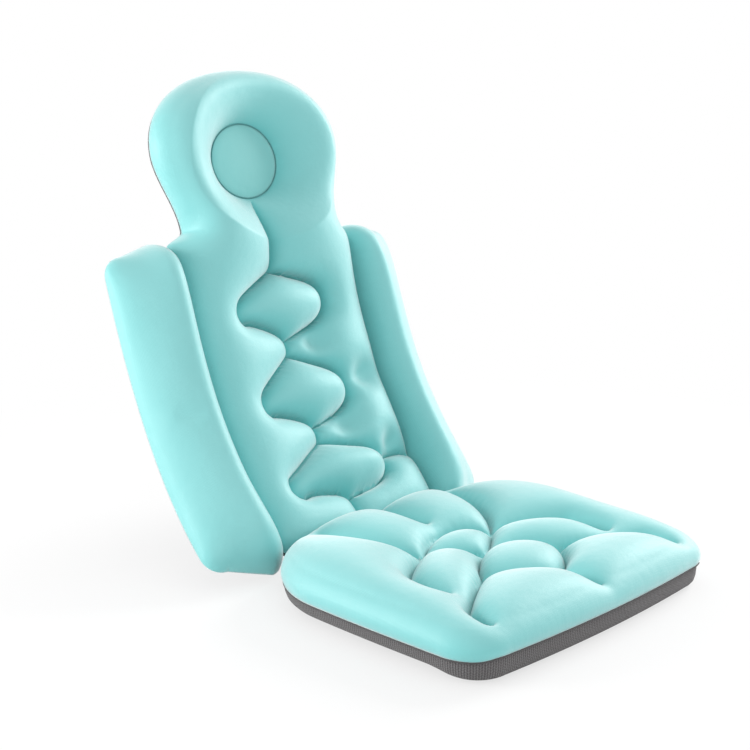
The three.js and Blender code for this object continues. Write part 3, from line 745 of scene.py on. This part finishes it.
def back_table():
    """The curve of the back as its places behind and above the seat's rear edge."""
    middle = (BACK_STEPS[1:] + BACK_STEPS[:-1]) / 2
    step = BACK_STEPS[1] - BACK_STEPS[0]
    y = np.concatenate([[0], np.cumsum(np.sin(lean_at(middle)) * step)])
    z = np.concatenate([[0], np.cumsum(np.cos(lean_at(middle)) * step)])
    y += BACK_START[0] - np.interp(0, BACK_STEPS, y)
    z += BACK_START[1] - np.interp(0, BACK_STEPS, z)
    return y + REAR_EDGE, z


BACK_Y, BACK_Z = back_table()


def on_back(x, t, h):
    """Places on the back: across, along its curve from the foot, and out from its base."""
    lean = lean_at(t)
    y = np.interp(t, BACK_STEPS, BACK_Y) - h * np.cos(lean)
    z = np.interp(t, BACK_STEPS, BACK_Z) + h * np.sin(lean)
    return np.stack([x + 0 * t, y, z], -1)


def draped(level):
    """Places on the seat's top, whose sides hang a little over the band and stand proud of it."""

    def place(x, t, h):
        side = fade_in(np.abs(x) / (SEAT_WIDTH / 2), *SIDE_HANG_FADE)
        front = fade_in(t / SEAT_DEPTH, *FRONT_HANG_FADE)
        low = smooth(t / HANG_REAR_SPAN) * np.clip(1 - h / HANG_HEIGHT, 0, 1)
        out = x * (1 + SIDE_PROUD * low * side)
        ahead = t * (1 + FRONT_PROUD * low * front)
        drop = low * np.maximum(SIDE_HANG * side, FRONT_HANG * front)
        return np.stack([out, REAR_EDGE - ahead, level + h - drop], -1)

    return place


# Rings and slabs that follow an outline


def sweep(name, loop, section, place, material, mirrored=False, capped=False):
    """A ring along an outline. section lists (out from the outline, height) points around it."""
    n = normals_of(loop)[:-1]
    ring = loop[:-1]
    walked = np.concatenate([[0], np.cumsum(np.hypot(*np.diff(loop, axis=0).T))])[:-1]
    points, cloth = [], []
    for out, high in section:
        p = ring + n * out
        points.append(place(p[:, 0], p[:, 1], np.full(len(p), high)))
        cloth.append(np.stack([walked, np.full(len(p), high), np.full(len(p), out)], 1))
    count, sides = len(ring), len(section)
    index = np.arange(sides * count).reshape(sides, count)
    faces = []
    for k in range(sides - 1 if capped else sides):
        low, high = index[k], index[(k + 1) % sides]
        ahead_low, ahead_high = np.roll(low, -1), np.roll(high, -1)
        faces += [list(f) for f in zip(low, ahead_low, ahead_high, high)]
    smooth_count = len(faces)
    if capped:
        faces += [list(index[0][::-1]), list(index[-1])]
    return mesh_object(
        name,
        np.concatenate(points),
        faces,
        material,
        mirrored=mirrored,
        smooth_count=smooth_count,
        cloth=np.concatenate(cloth),
    )


def resampled(loop, count):
    return along_loop(loop, np.linspace(0, 1, count + 1))


def slab(name, loop, corners, counts, low, high, place, material, mirrored=False):
    """A sheet over an outline between two heights, with a rounded edge."""
    columns, rows = counts
    edge = 0.0012
    levels = [(edge, low), (0.0, low + edge), (0.0, high - edge), (edge, high)]
    grids = []
    for inset, _ in levels:
        outline = shrink(loop, inset) if inset else loop
        grids.append(patch_grid(outline, corners, columns, rows, SHEET_RIM_CELLS))
    shape = grids[0].shape[:2]
    count = shape[0] * shape[1]
    index = np.arange(count).reshape(shape)
    border = np.concatenate([index[0, :-1], index[:-1, -1], index[-1, :0:-1], index[:0:-1, 0]])
    points, cloth = [], []
    for grid, (_, level) in zip(grids, levels):
        flat = grid.reshape(-1, 2)
        points.append(place(flat[:, 0], flat[:, 1], np.full(count, level)))
        cloth.append(np.stack([flat[:, 0], flat[:, 1], np.full(count, level)], 1))
    a, b, c, d = (q.ravel() for q in (index[:-1, :-1], index[:-1, 1:], index[1:, 1:], index[1:, :-1]))
    top = np.stack([a, b, c, d], 1) + 3 * count
    bottom = np.stack([d, c, b, a], 1)
    walls = []
    for k in range(3):
        low_ring, high_ring = border + k * count, border + (k + 1) * count
        walls.append(np.stack([low_ring, np.roll(low_ring, -1), np.roll(high_ring, -1), high_ring], 1))
    faces = np.concatenate([top, bottom, *walls])
    used = np.unique(faces)
    renamed = np.zeros(4 * count, int)
    renamed[used] = np.arange(len(used))
    return mesh_object(
        name,
        np.concatenate(points)[used],
        renamed[faces],
        material,
        mirrored=mirrored,
        cloth=np.concatenate(cloth)[used],
    )


# Shader maths as expressions


class Value:
    """A number that varies over a surface. Expressions on it add Math nodes."""

    def __init__(self, finish, socket):
        self.finish, self.socket = finish, socket

    def math(self, operation, *others):
        return self.finish.node("ShaderNodeMath", {"operation": operation}, self, *others)

    def __add__(self, other):
        return self.math("ADD", other)

    def __mul__(self, other):
        return self.math("MULTIPLY", other)

    def __sub__(self, other):
        return self.math("SUBTRACT", other)

    def __rsub__(self, other):
        return self.finish.node("ShaderNodeMath", {"operation": "SUBTRACT"}, other, self)

    __radd__, __rmul__ = __add__, __mul__

    def clamped(self):
        return self.finish.node("ShaderNodeClamp", {}, self)


class Finish:
    """A material with its Principled shader, whose constant sockets are set by name."""

    def __init__(self, name, **constants):
        self.material = bpy.data.materials.new(name)
        self.material.use_nodes = True
        self.tree = self.material.node_tree
        self.shader = self.tree.nodes["Principled BSDF"]
        for key, value in constants.items():
            self.shader.inputs[key.replace("_", " ")].default_value = value

    def node(self, kind, settings, *inputs, out=0, **named):
        made = self.tree.nodes.new(kind)
        for key, value in settings.items():
            if key == "stops":
                for element, (position, colour) in zip(made.color_ramp.elements, value):
                    element.position, element.color = position, colour
            else:
                setattr(made, key, value)
        pairs = list(enumerate(inputs)) + [(k.replace("_", " "), v) for k, v in named.items()]
        for key, value in pairs:
            if isinstance(value, Value):
                self.tree.links.new(value.socket, made.inputs[key])
            else:
                made.inputs[key].default_value = value
        return Value(self, made.outputs[out])

    def blend(self, share, one, two):
        """A colour between two colours."""
        made = self.node("ShaderNodeMix", {"data_type": "RGBA"}, out=2)
        node = made.socket.node
        for position, value in ((0, share), (6, one), (7, two)):
            if isinstance(value, Value):
                self.tree.links.new(value.socket, node.inputs[position])
            else:
                node.inputs[position].default_value = value
        return made

    def paint(self, **sockets):
        for key, value in sockets.items():
            self.tree.links.new(value.socket, self.shader.inputs[key.replace("_", " ")])
        return self.material

    def cloth(self):
        """The cloth's own coordinates in metres: across, along, and the distance from a seam."""
        place = self.node("ShaderNodeAttribute", {"attribute_name": "cloth"}, out=1)
        parts = self.node("ShaderNodeSeparateXYZ", {}, place)
        node = parts.socket.node
        return place, [Value(self, node.outputs[i]) for i in range(3)]

    def noise(self, place, scale, detail=2.0):
        return self.node("ShaderNodeTexNoise", {}, place, Scale=scale, Detail=detail, Roughness=0.5)

    def bump(self, height, distance):
        return self.node("ShaderNodeBump", {}, Strength=1.0, Distance=distance, Height=height)


def linear(r, g, b):
    """An sRGB colour from 0 to 255 as a linear one."""

    def one(c):
        c /= 255
        return c / 12.92 if c <= 0.04045 else ((c + 0.055) / 1.055) ** 2.4

    return (one(r), one(g), one(b), 1.0)


def wave(value, pitch):
    """A wave between 0 and 1 with one crest every pitch."""
    return (value * (2 * math.pi / pitch)).math("SINE") * 0.5 + 0.5


def knit_finish(name, painted_crease_shade, deep, light, pitch=0.0011):
    """Smooth stretch knit with fine wales, a soft nap, and painted shade: a darker tone laid down in the
    creases.
    """
    f = Finish(
        name,
        Sheen_Weight=1.0,
        Sheen_Roughness=0.5,
        Sheen_Tint=(1.0, 0.99, 0.99, 1),
        Specular_IOR_Level=0.8,
    )
    place, (across, along, gap) = f.cloth()
    wales = wave(across, pitch)
    loops = wave(along + wales * (pitch * 0.45), pitch * 1.25)
    knit = wales * 0.6 + loops * 0.4
    soft = f.noise(place, 18.0, 3.0)
    fuzz = f.noise(place, 900.0)
    # Painted shade: within a few millimetres of a seam or the rim the colour darkens towards the crease tone,
    # where shade falls.
    painted_shade = (gap * (-1 / 0.006)).math("EXPONENT")
    shade = (soft - 0.5) * 0.4 + (fuzz - 0.5) * 0.10 + 0.5
    colour = f.blend(shade.clamped(), deep, light)
    colour = f.blend((painted_shade * 0.7).clamped(), colour, painted_crease_shade)
    height = knit * 0.35 + fuzz * 0.4 + f.noise(place, 60.0) * 2.5
    return f.paint(
        Base_Color=colour,
        Roughness=(0.46 + fuzz * 0.12).clamped(),
        Normal=f.bump(height, 0.00022),
    )


def mesh_finish(name, dark, light, rib):
    """Ribbed spacer mesh: raised ribs with small openings between them."""
    f = Finish(name, Roughness=0.9, Sheen_Weight=0.15, Sheen_Roughness=0.6)
    place, (along, high, _) = f.cloth()
    ribs = wave(along, rib)
    holes = wave(high + wave(along, rib * 2) * (rib * 0.5), rib * 0.8)
    fuzz = f.noise(place, 700.0)
    weave = ribs * 0.65 + holes * 0.35
    colour = f.blend((weave * 0.85 + (fuzz - 0.5) * 0.4).clamped(), dark, light)
    return f.paint(
        Base_Color=colour,
        Roughness=(0.8 + fuzz * 0.15).clamped(),
        Normal=f.bump(weave + fuzz * 0.2, 0.0007),
    )


def tape_finish(name, dark, light):
    """Woven edge tape with fine cross ribs."""
    f = Finish(name, Roughness=0.8, Sheen_Weight=0.2, Sheen_Roughness=0.5)
    place, (along, _, _) = f.cloth()
    ribs = wave(along, 0.0011)
    fuzz = f.noise(place, 800.0)
    colour = f.blend((ribs * 0.6 + fuzz * 0.4).clamped(), dark, light)
    return f.paint(Base_Color=colour, Normal=f.bump(ribs + fuzz * 0.3, 0.0003))


def rubber_finish(name, tone, deep):
    """Soft pale rubber, a little cloudy."""
    f = Finish(name, Roughness=0.35)
    place = f.node("ShaderNodeTexCoord", {}, out=3)
    cloud = f.noise(place, 40.0, 3.0)
    fine = f.noise(place, 500.0)
    return f.paint(
        Base_Color=f.blend(cloud.clamped(), deep, tone),
        Roughness=(0.3 + cloud * 0.15).clamped(),
        Normal=f.bump(fine, 0.0001),
    )


def fibre_finish(name):
    """Loose white filling."""
    f = Finish(name, Roughness=1.0)
    place = f.node("ShaderNodeTexCoord", {}, out=3)
    curls = f.noise(place, 300.0, 4.0)
    return f.paint(
        Base_Color=f.blend(curls.clamped(), linear(214, 219, 216), linear(250, 251, 250)),
        Normal=f.bump(curls, 0.001),
    )


# The first colour given to each knit is painted shade for its creases; the other two are its own tones, mixed
# at random.
AQUA_KNIT = knit_finish("aqua_knit", linear(64, 188, 188), linear(118, 203, 203), linear(140, 211, 211))
PATCH_KNIT = knit_finish(
    "patch_knit", linear(100, 186, 186), linear(112, 196, 195), linear(126, 204, 202), pitch=0.0014
)
GREY_MESH = mesh_finish("grey_mesh", linear(62, 60, 61), linear(128, 125, 126), 0.0030)
GREY_TAPE = tape_finish("grey_tape", linear(58, 56, 57), linear(92, 89, 90))
CUP_RUBBER = rubber_finish("cup_rubber", linear(226, 234, 233), linear(205, 217, 216))
EYELET_PLASTIC = rubber_finish("eyelet_plastic", linear(216, 220, 219), linear(204, 210, 209))
FIBRE = fibre_finish("fibre")
SEAM_THREAD = tape_finish("seam_thread", linear(70, 140, 142), linear(96, 165, 166))


# The pieces


def dress(piece, body, slot, *nodes, fill=None):
    """Says which body a piece rides on and the nodes it stands for, which it hides. Its slot and fill are not
    used.
    """
    if body:
        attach(piece, body)
    if nodes:
        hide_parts(*nodes)
    return piece


def seat_cushion():
    w, d = SEAT_WIDTH / 2, SEAT_DEPTH
    rear, front = SEAT_REAR_CORNER * CORNER_SHARE, SEAT_FRONT_CORNER * CORNER_SHARE
    piece = cushion(
        "seat_cushion",
        seat_outline(),
        [(-w + rear, rear), (w - rear, rear), (w - front, d - front), (-w + front, d - front)],
        (189, 171),
        seam_chains(SEAT_SEAMS, w, d),
        push=lambda p: np.full(len(p), SEAT_PUSH),
        reach=SEAT_REACH,
        place=draped(COVER_LEVEL),
        valley=SEAT_VALLEY,
        bulge=(lambda p: SEAT_BULGE * fade_in(p[:, 1], 0.01, 0.05), SEAT_BULGE_LEVEL),
        gather=SEAT_GATHER,
        mirrored=True,
    )
    return dress(piece, "seat", "cover_fabric", "seat_quilted_top", "seat_fibre_core", fill=0.75)


def back_corners():
    top = (HEAD_HALF * 0.74, HEAD_WIDEST + (BACK_LENGTH - HEAD_WIDEST) * 0.74)
    foot = (FOOT_HALF - FOOT_CORNER * CORNER_SHARE, BACK_FOOT + FOOT_CORNER * CORNER_SHARE)
    return [(-foot[0], foot[1]), foot, top, (-top[0], top[1])]


def oval_reach(p):
    return np.hypot(p[:, 0] / RECESS_HALF_WIDTH, (p[:, 1] - RECESS_LENGTH) / RECESS_HALF_LENGTH)


def oval_loop(steps):
    angles = np.linspace(0, 2 * np.pi, steps + 1)
    oval = [RECESS_HALF_WIDTH * np.cos(angles), RECESS_LENGTH + RECESS_HALF_LENGTH * np.sin(angles)]
    return np.stack(oval, 1)


def back_push(p):
    """How hard the filling pushes: least at the foot, more beside the lens-shaped lobes, and most in them."""
    loops = lens_loops()
    gap = nearest(p, loops)[0]
    push = mix(FOOT_PUSH, PANEL_PUSH, fade_in(p[:, 1], *FOOT_FADE))
    push = push * mix(BESIDE_LENS, 1.0, fade_in(gap, *BESIDE_LENS_FADE))
    in_lens = mix(LENS_LEFT_PUSH, LENS_RIGHT_PUSH, fade_in(p[:, 0], *ACROSS_LENS_FADE))
    for loop in loops:
        push = np.where(inside_loop(p, loop), in_lens, push)
    past_neck = p[:, 1] - NECK_LENGTH
    push = mix(push, NECK_PUSH, fade_in(past_neck, *NECK_FADE))
    return mix(push, HEAD_PUSH, fade_in(past_neck, *HEAD_FADE))


def back_ramp(p):
    """The ring slopes down to its oval hollow, and shallow hollows lie to the right of the lenses."""
    share = np.clip((oval_reach(p) - 1) * RECESS_HALF_LENGTH / RING_SLOPE, 0, 1) ** RING_ROUNDNESS
    for x, t, size in HOLLOWS:
        away = (p[:, 0] - x) ** 2 + (p[:, 1] - t) ** 2
        share = share * (1 - HOLLOW_DEPTH * np.exp(-away / size**2))
    return share


def on_back_cover(x, t, h):
    """Places on the back's cushion, whose foot starts a little later and leaves room for the fold."""
    room = FOOT_ROOM * np.exp((BACK_FOOT - t) / FOOT_ROOM_REACH)
    return on_back(x, t + room, h + COVER_FOOT)


def back_cushion():
    piece = cushion(
        "back_cushion",
        back_outline(),
        back_corners(),
        (150, 300),
        back_seams(),
        push=back_push,
        reach=BACK_REACH,
        place=on_back_cover,
        valley=BACK_VALLEY,
        edges=[oval_loop(120)],
        laid_flat=lambda p: oval_reach(p) <= OVAL_EDGE,
        ramp=back_ramp,
        bulge=(lambda p: HEAD_BULGE * fade_in(p[:, 1], NECK_LENGTH, 0.03), BACK_BULGE_LEVEL),
        gather=BACK_GATHER,
    )
    return dress(piece, "back", "cover_fabric", "back_quilted_top", "back_fibre_core", fill=0.8)


def wing_corners():
    pull = WING_CORNER * CORNER_SHARE
    return [
        (seam_half_width(0.0) + pull, pull),
        (WING_OUTER - pull, WING_FOOT_SLANT + pull),
        (WING_OUTER - pull, WING_LENGTH - WING_TOP_SLANT - pull),
        (PANEL_HALF + pull, WING_LENGTH - pull),
    ]


def wing_dress(piece, side, word, slot, *nodes, fill=None):
    """Bakes a bolster piece's place into its mesh and hides the nodes it stands for. side, word, slot and
    fill are not used.
    """
    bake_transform(piece)
    return dress(piece, None, slot, *nodes, fill=fill)


def wing_push(p):
    """The filling of a bolster lies towards its seam, so it slopes gently to its outer edge."""
    crest = fade_in(WING_OUTER - p[:, 0], WING_CREST_START, WING_CREST_SPAN)
    return WING_EDGE_PUSH + WING_PUSH * crest * mix(WING_FOOT_SHARE, 1.0, smooth(p[:, 1] / WING_FOOT_SPAN))


def wing_cushion(side, word):
    piece = cushion(
        word + "_wing_cushion",
        wing_outline(),
        wing_corners(),
        (63, 189),
        [],
        push=wing_push,
        reach=WING_REACH,
        place=lambda x, t, h: on_back(side * x, t, h + WING_SHEET_TOP),
        bulge=(lambda p: WING_BULGE * fade_in(p[:, 0], 0.2, 0.02), WING_BULGE_LEVEL),
        mirrored=side < 0,
    )
    nodes = [word + "_wing_cover", word + "_wing_fibre_core"]
    return wing_dress(piece, side, word, "cover_fabric", *nodes, fill=0.85)


def seat_band():
    """The seat's base of spacer mesh, with soft edges."""
    h = BAND_HEIGHT
    section = [(-0.0085, 0), (-0.0048, 0.0009), (-0.0022, 0.0034), (-0.0006, 0.0078)]
    section += [(0.0, 0.0130), (0.0, h - 0.002), (-0.0012, h - 0.0002)]

    def place(x, t, high):
        sag = BAND_SAG * fade_in(t / SEAT_DEPTH, *BAND_SAG_FADE) * (1 - high / h)
        return np.stack([x, REAR_EDGE - t, BASE_LEVEL + high - sag], -1)

    outline = resampled(seat_outline(), 420)
    band = sweep("seat_band", outline, section, place, GREY_MESH, mirrored=True, capped=True)
    return dress(band, "seat", "base_mesh", "seat_base_mesh")


def edge_tape(name, loop, place, level, height, proud, mirrored=False):
    """Rounded tape along an outline, proud metres out from it."""
    half = 0.0022
    angles = np.linspace(0, 2 * np.pi, 10, endpoint=False)
    section = [(proud - half + half * math.cos(a), level + height / 2 * (1 + math.sin(a))) for a in angles]
    return sweep(name, loop, section, place, GREY_TAPE, mirrored)


def seat_tape():
    level = BASE_LEVEL + BAND_HEIGHT
    tape = edge_tape(
        "seat_tape", resampled(seat_outline(), 420), draped(level), 0.0003, 0.0024, 0.0008, mirrored=True
    )
    dress(tape, "seat", "edge_binding", "seat_edge_binding")


def back_base():
    outline = back_outline(0.0028)
    sheet = slab("back_mesh", outline, back_corners(), (60, 150), -BACK_SHEET, 0.0, on_back, GREY_MESH)
    dress(sheet, "back", "base_mesh", "back_base_mesh")
    tape = edge_tape("back_tape", resampled(back_outline(), 520), on_back, 0.0002, 0.0018, -0.0016)
    dress(tape, "back", "edge_binding", "back_edge_binding")


def wing_base(side, word):
    sheet = slab(
        word + "_wing_mesh",
        wing_outline(0.004),
        wing_corners(),
        (24, 100),
        WING_SHEET_BACK,
        WING_SHEET_TOP,
        lambda x, t, h: on_back(side * x, t, h),
        GREY_MESH,
        mirrored=side < 0,
    )
    wing_dress(sheet, side, word, "base_mesh", word + "_wing_base_mesh")


def head_patch():
    """Oval of plain knit in the head ring, a little domed, with a sewn line round it."""
    foot, edge, dome, size = 0.0004, 0.0042, 0.0040, 0.992
    angles = np.linspace(0, 2 * np.pi, 96, endpoint=False)
    rings = [0.35, 0.6, 0.8, 0.92, 0.975, 1.0]
    points, cloth = [], []
    for r in rings:
        x = RECESS_HALF_WIDTH * r * np.cos(angles) * size
        t = RECESS_LENGTH + RECESS_HALF_LENGTH * r * np.sin(angles) * size
        h = edge + dome * (1 - r**2) - 0.0010 * fade_in(r, 0.92, 0.08)
        points.append(on_back(x, t, np.full_like(x, h)))
        cloth.append(np.stack([x, t, np.full_like(x, FAR_FROM_SEAM)], 1))
    points.append(on_back(x, t, np.full_like(x, foot)))
    cloth.append(cloth[-1])
    points.append(on_back(np.zeros(1), np.full(1, RECESS_LENGTH), np.full(1, edge + dome)))
    cloth.append(np.array([[0, RECESS_LENGTH, FAR_FROM_SEAM]]))
    n = len(angles)
    centre = (len(rings) + 1) * n
    faces = [[centre, i, (i + 1) % n] for i in range(n)]
    for k in range(len(rings)):
        low, high = k * n, (k + 1) * n
        faces += [[low + i, high + i, high + (i + 1) % n, low + (i + 1) % n] for i in range(n)]
    smooth_count = len(faces)
    faces.append([len(rings) * n + i for i in range(n - 1, -1, -1)])
    patch = mesh_object(
        "head_patch",
        np.concatenate(points),
        faces,
        PATCH_KNIT,
        smooth_count=smooth_count,
        cloth=np.concatenate(cloth),
    )
    dress(patch, "back", "patch_fabric", "head_centre_patch")
    thread = 0.0009
    section = [
        (-0.0006 + thread * math.cos(a), 0.0040 + thread * math.sin(a))
        for a in np.linspace(0, 2 * np.pi, 8, endpoint=False)
    ]
    line = sweep("head_patch_seam", oval_loop(200), section, on_back, SEAM_THREAD)
    dress(line, "back", "patch_fabric")


def fold_cloth():
    """Strip of base cloth from the seat's rear edge to the back's foot, hanging in one shallow fold."""
    foot = on_back(np.zeros(1), np.full(1, BACK_FOOT), np.full(1, -0.5 * BACK_SHEET))[0]
    ends = np.array([[REAR_EDGE + FOLD_HALF_THICKNESS, FOLD_TOP], [foot[1], foot[2]]])
    low = ((ends[0, 0] + ends[1, 0]) / 2 - 0.0004, FOLD_LOW)
    line = curve([tuple(ends[0]), low, tuple(ends[1])], 16)
    length = np.hypot(*np.diff(line, axis=0).T).sum()
    across = np.linspace(-FOLD_WIDTH / 2, FOLD_WIDTH / 2, FOLD_COLUMNS)
    ahead = np.gradient(line, axis=0)
    side = np.stack([-ahead[:, 1], ahead[:, 0]], 1) / np.hypot(*ahead.T)[:, None]
    walked = np.linspace(0, length, len(line))
    points, cloth = [], []
    rows, columns = len(line), len(across)
    for out in (FOLD_HALF_THICKNESS, -FOLD_HALF_THICKNESS):
        for (y, z), run in zip(line + side * out, walked):
            points.append(np.stack([across, np.full(columns, y), np.full(columns, z)], 1))
            cloth.append(np.stack([across, np.full(columns, run), np.full(columns, out)], 1))
    index = np.arange(2 * rows * columns).reshape(2, rows, columns)
    faces = []
    for sheet, turned in ((index[0], False), (index[1], True)):
        quads = np.stack([sheet[:-1, :-1], sheet[:-1, 1:], sheet[1:, 1:], sheet[1:, :-1]], -1).reshape(-1, 4)
        faces += [list(q[::-1]) if turned else list(q) for q in quads]
    border = [np.concatenate([k[0, :-1], k[:-1, -1], k[-1, :0:-1], k[:0:-1, 0]]) for k in index]
    ahead_ring = [np.roll(ring, -1) for ring in border]
    faces += [list(q) for q in np.stack([border[0], border[1], ahead_ring[1], ahead_ring[0]], -1)]
    strip = mesh_object("fold_cloth", np.concatenate(points), faces, GREY_MESH, cloth=np.concatenate(cloth))
    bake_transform(strip)
    dress(strip, None, "base_mesh", "fold_strip")


def turned(name, profile, centre, along, out, material, sides=64):
    """A round piece turned about an axis from a profile of (radius, level) in metres, closed at both ends."""
    across = np.cross(along, out)
    angles = np.linspace(0, 2 * np.pi, sides, endpoint=False)
    circle = np.cos(angles)[:, None] * across + np.sin(angles)[:, None] * along
    points = [centre + out * profile[0][1]]
    for radius, level in profile[1:-1]:
        points.extend(centre + circle * radius + out * level)
    points.append(centre + out * profile[-1][1])
    rings = 1 + np.arange((len(profile) - 2) * sides).reshape(-1, sides)
    faces = [[0, b, a] for a, b in zip(rings[0], np.roll(rings[0], -1))]
    for low, high in zip(rings[:-1], rings[1:]):
        faces += [list(q) for q in zip(low, np.roll(low, -1), np.roll(high, -1), high)]
    last = len(points) - 1
    faces += [[a, b, last] for a, b in zip(rings[-1], np.roll(rings[-1], -1))]
    return mesh_object(name, points, faces, material)


def suction_cup(name, body, centre, along, out, neck_top):
    """A cup with a thin rolled lip, a domed hollow, a collar and a button head behind the base cloth."""
    profile = CUP_LIP + CUP_SKIRT + CUP_NECK + [(r, neck_top + z) for r, z in CUP_HEAD]
    piece = turned(name + "_cup", [(r / 1000, z / 1000) for r, z in profile], centre, along, out, CUP_RUBBER)
    dress(piece, body, "cup_rubber", name + "_suction_cup")


def suction_cups():
    ahead, up = np.array([0.0, 1, 0]), np.array([0.0, 0, 1])
    for word, side in (("left", -1), ("right", 1)):
        for name, x, t in SEAT_CUPS:
            centre = np.array([side * x, REAR_EDGE - t, 0.0])
            suction_cup(f"seat_{name}_{word}", "seat", centre, ahead, up, SEAT_CUP_NECK)
        for name, t in BACK_CUPS:
            lean = float(lean_at(t))
            along = np.array([0, math.sin(lean), math.cos(lean)])
            out = np.array([0, -math.cos(lean), math.sin(lean)])
            centre = on_back(np.full(1, side * BACK_CUP_ACROSS), np.full(1, t), np.full(1, BACK_CUP_OUT))[0]
            suction_cup(f"{name}_{word}", "back", centre, along, out, BACK_CUP_NECK)


def hidden_finishes():
    """Finishes of the solids that stay, the eyelets, and of the fibre cores inside the cushions."""
    for node, thing in frame["nodes"].items():
        finish = None
        if node.endswith("eyelet"):
            finish = EYELET_PLASTIC
        elif node.endswith("fibre_core"):
            finish = FIBRE
        if finish is not None:
            for slot in thing.material_slots:
                slot.material = finish


# The studio


def floor():
    """A pale floor that keeps the object's shadow and fades to white around it."""
    n = FLOOR_HALF
    mesh = bpy.data.meshes.new("floor")
    mesh.from_pydata([(-n, -n, 0), (n, -n, 0), (n, n, 0), (-n, n, 0)], [], [(0, 1, 2, 3)])
    made = bpy.data.objects.new("floor", mesh)
    bpy.context.scene.collection.objects.link(made)
    f = Finish("floor", Base_Color=(0.9, 0.9, 0.9, 1), Roughness=0.9, Specular_IOR_Level=0.1)
    place = f.node("ShaderNodeTexCoord", {}, out=3)
    away = f.node("ShaderNodeVectorMath", {"operation": "LENGTH"}, place, out=1)
    glow = ((away - FLOOR_NEAR) * FLOOR_FADE).clamped() * (1 - FLOOR_GLOW) + FLOOR_GLOW
    white = f.node("ShaderNodeEmission", {}, (1, 1, 1, 1), 1.0)
    lit = Value(f, f.shader.outputs[0])
    seen = f.node("ShaderNodeLightPath", {})
    mixed = f.node("ShaderNodeMixShader", {}, glow * seen, lit, white)
    f.tree.links.new(mixed.socket, f.tree.nodes["Material Output"].inputs[0])
    mesh.materials.append(f.material)


def world():
    """White for the camera, reflections and see-through rays, and a plain level of light on the object."""
    made = bpy.data.worlds.new("world")
    bpy.context.scene.world = made
    made.use_nodes = True
    tree = made.node_tree
    background = tree.nodes["Background"]
    paths = tree.nodes.new("ShaderNodeLightPath")
    seen = paths.outputs["Is Camera Ray"]
    for name in ("Is Glossy Ray", "Is Transmission Ray"):
        either = tree.nodes.new("ShaderNodeMath")
        either.operation = "MAXIMUM"
        tree.links.new(seen, either.inputs[0])
        tree.links.new(paths.outputs[name], either.inputs[1])
        seen = either.outputs[0]
    strength = tree.nodes.new("ShaderNodeMapRange")
    tree.links.new(seen, strength.inputs["Value"])
    strength.inputs["To Min"].default_value = WORLD_LEVEL
    strength.inputs["To Max"].default_value = 1.0
    tree.links.new(strength.outputs[0], background.inputs["Strength"])
    background.inputs["Color"].default_value = (1, 1, 1, 1)


def lamp(name, place, towards, size, power):
    """A round lamp, its size in metres and its power in watts."""
    light = bpy.data.lights.new(name, "AREA")
    light.shape, light.size, light.energy = "DISK", size, power
    made = bpy.data.objects.new(name, light)
    made.location = place
    made.rotation_mode = "QUATERNION"
    made.rotation_quaternion = (Vector(towards) - Vector(place)).to_track_quat("-Z", "Y")
    bpy.context.scene.collection.objects.link(made)


def camera():
    data = bpy.data.cameras.new("camera")
    data.lens, data.sensor_width = CAMERA_LENS, CAMERA_SENSOR
    made = bpy.data.objects.new("camera", data)
    azimuth, elevation = math.radians(CAMERA_AZIMUTH), math.radians(CAMERA_ELEVATION)
    x, y, z = CAMERA_PLACE
    made.location = (x, y + REAR_EDGE, z + BASE_LEVEL)
    level = math.cos(elevation)
    back = Vector((math.sin(azimuth) * level, -math.cos(azimuth) * level, math.sin(elevation)))
    made.rotation_mode = "QUATERNION"
    made.rotation_quaternion = (-back).to_track_quat("-Z", "Y")
    bpy.context.scene.collection.objects.link(made)
    bpy.context.scene.camera = made


camera()
floor()
world()
lamp("key", (2.1, -0.3, 1.3), (0, 0, 0.25), 1.1, 39)
lamp("left_edge", (-1.6, 1.05, 0.6), (0, 0.1, 0.3), 1.0, 22)
lamp("fill", (-1.2, -1.9, 1.4), (0, 0, 0.25), 1.8, 5)

seat_cushion()
back_cushion()
for word, side in (("left", -1), ("right", 1)):
    wing_cushion(side, word)
    wing_base(side, word)
seat_band()
seat_tape()
back_base()
head_patch()
fold_cloth()
suction_cups()
hidden_finishes()

bpy.context.scene.view_settings.view_transform = "Standard"
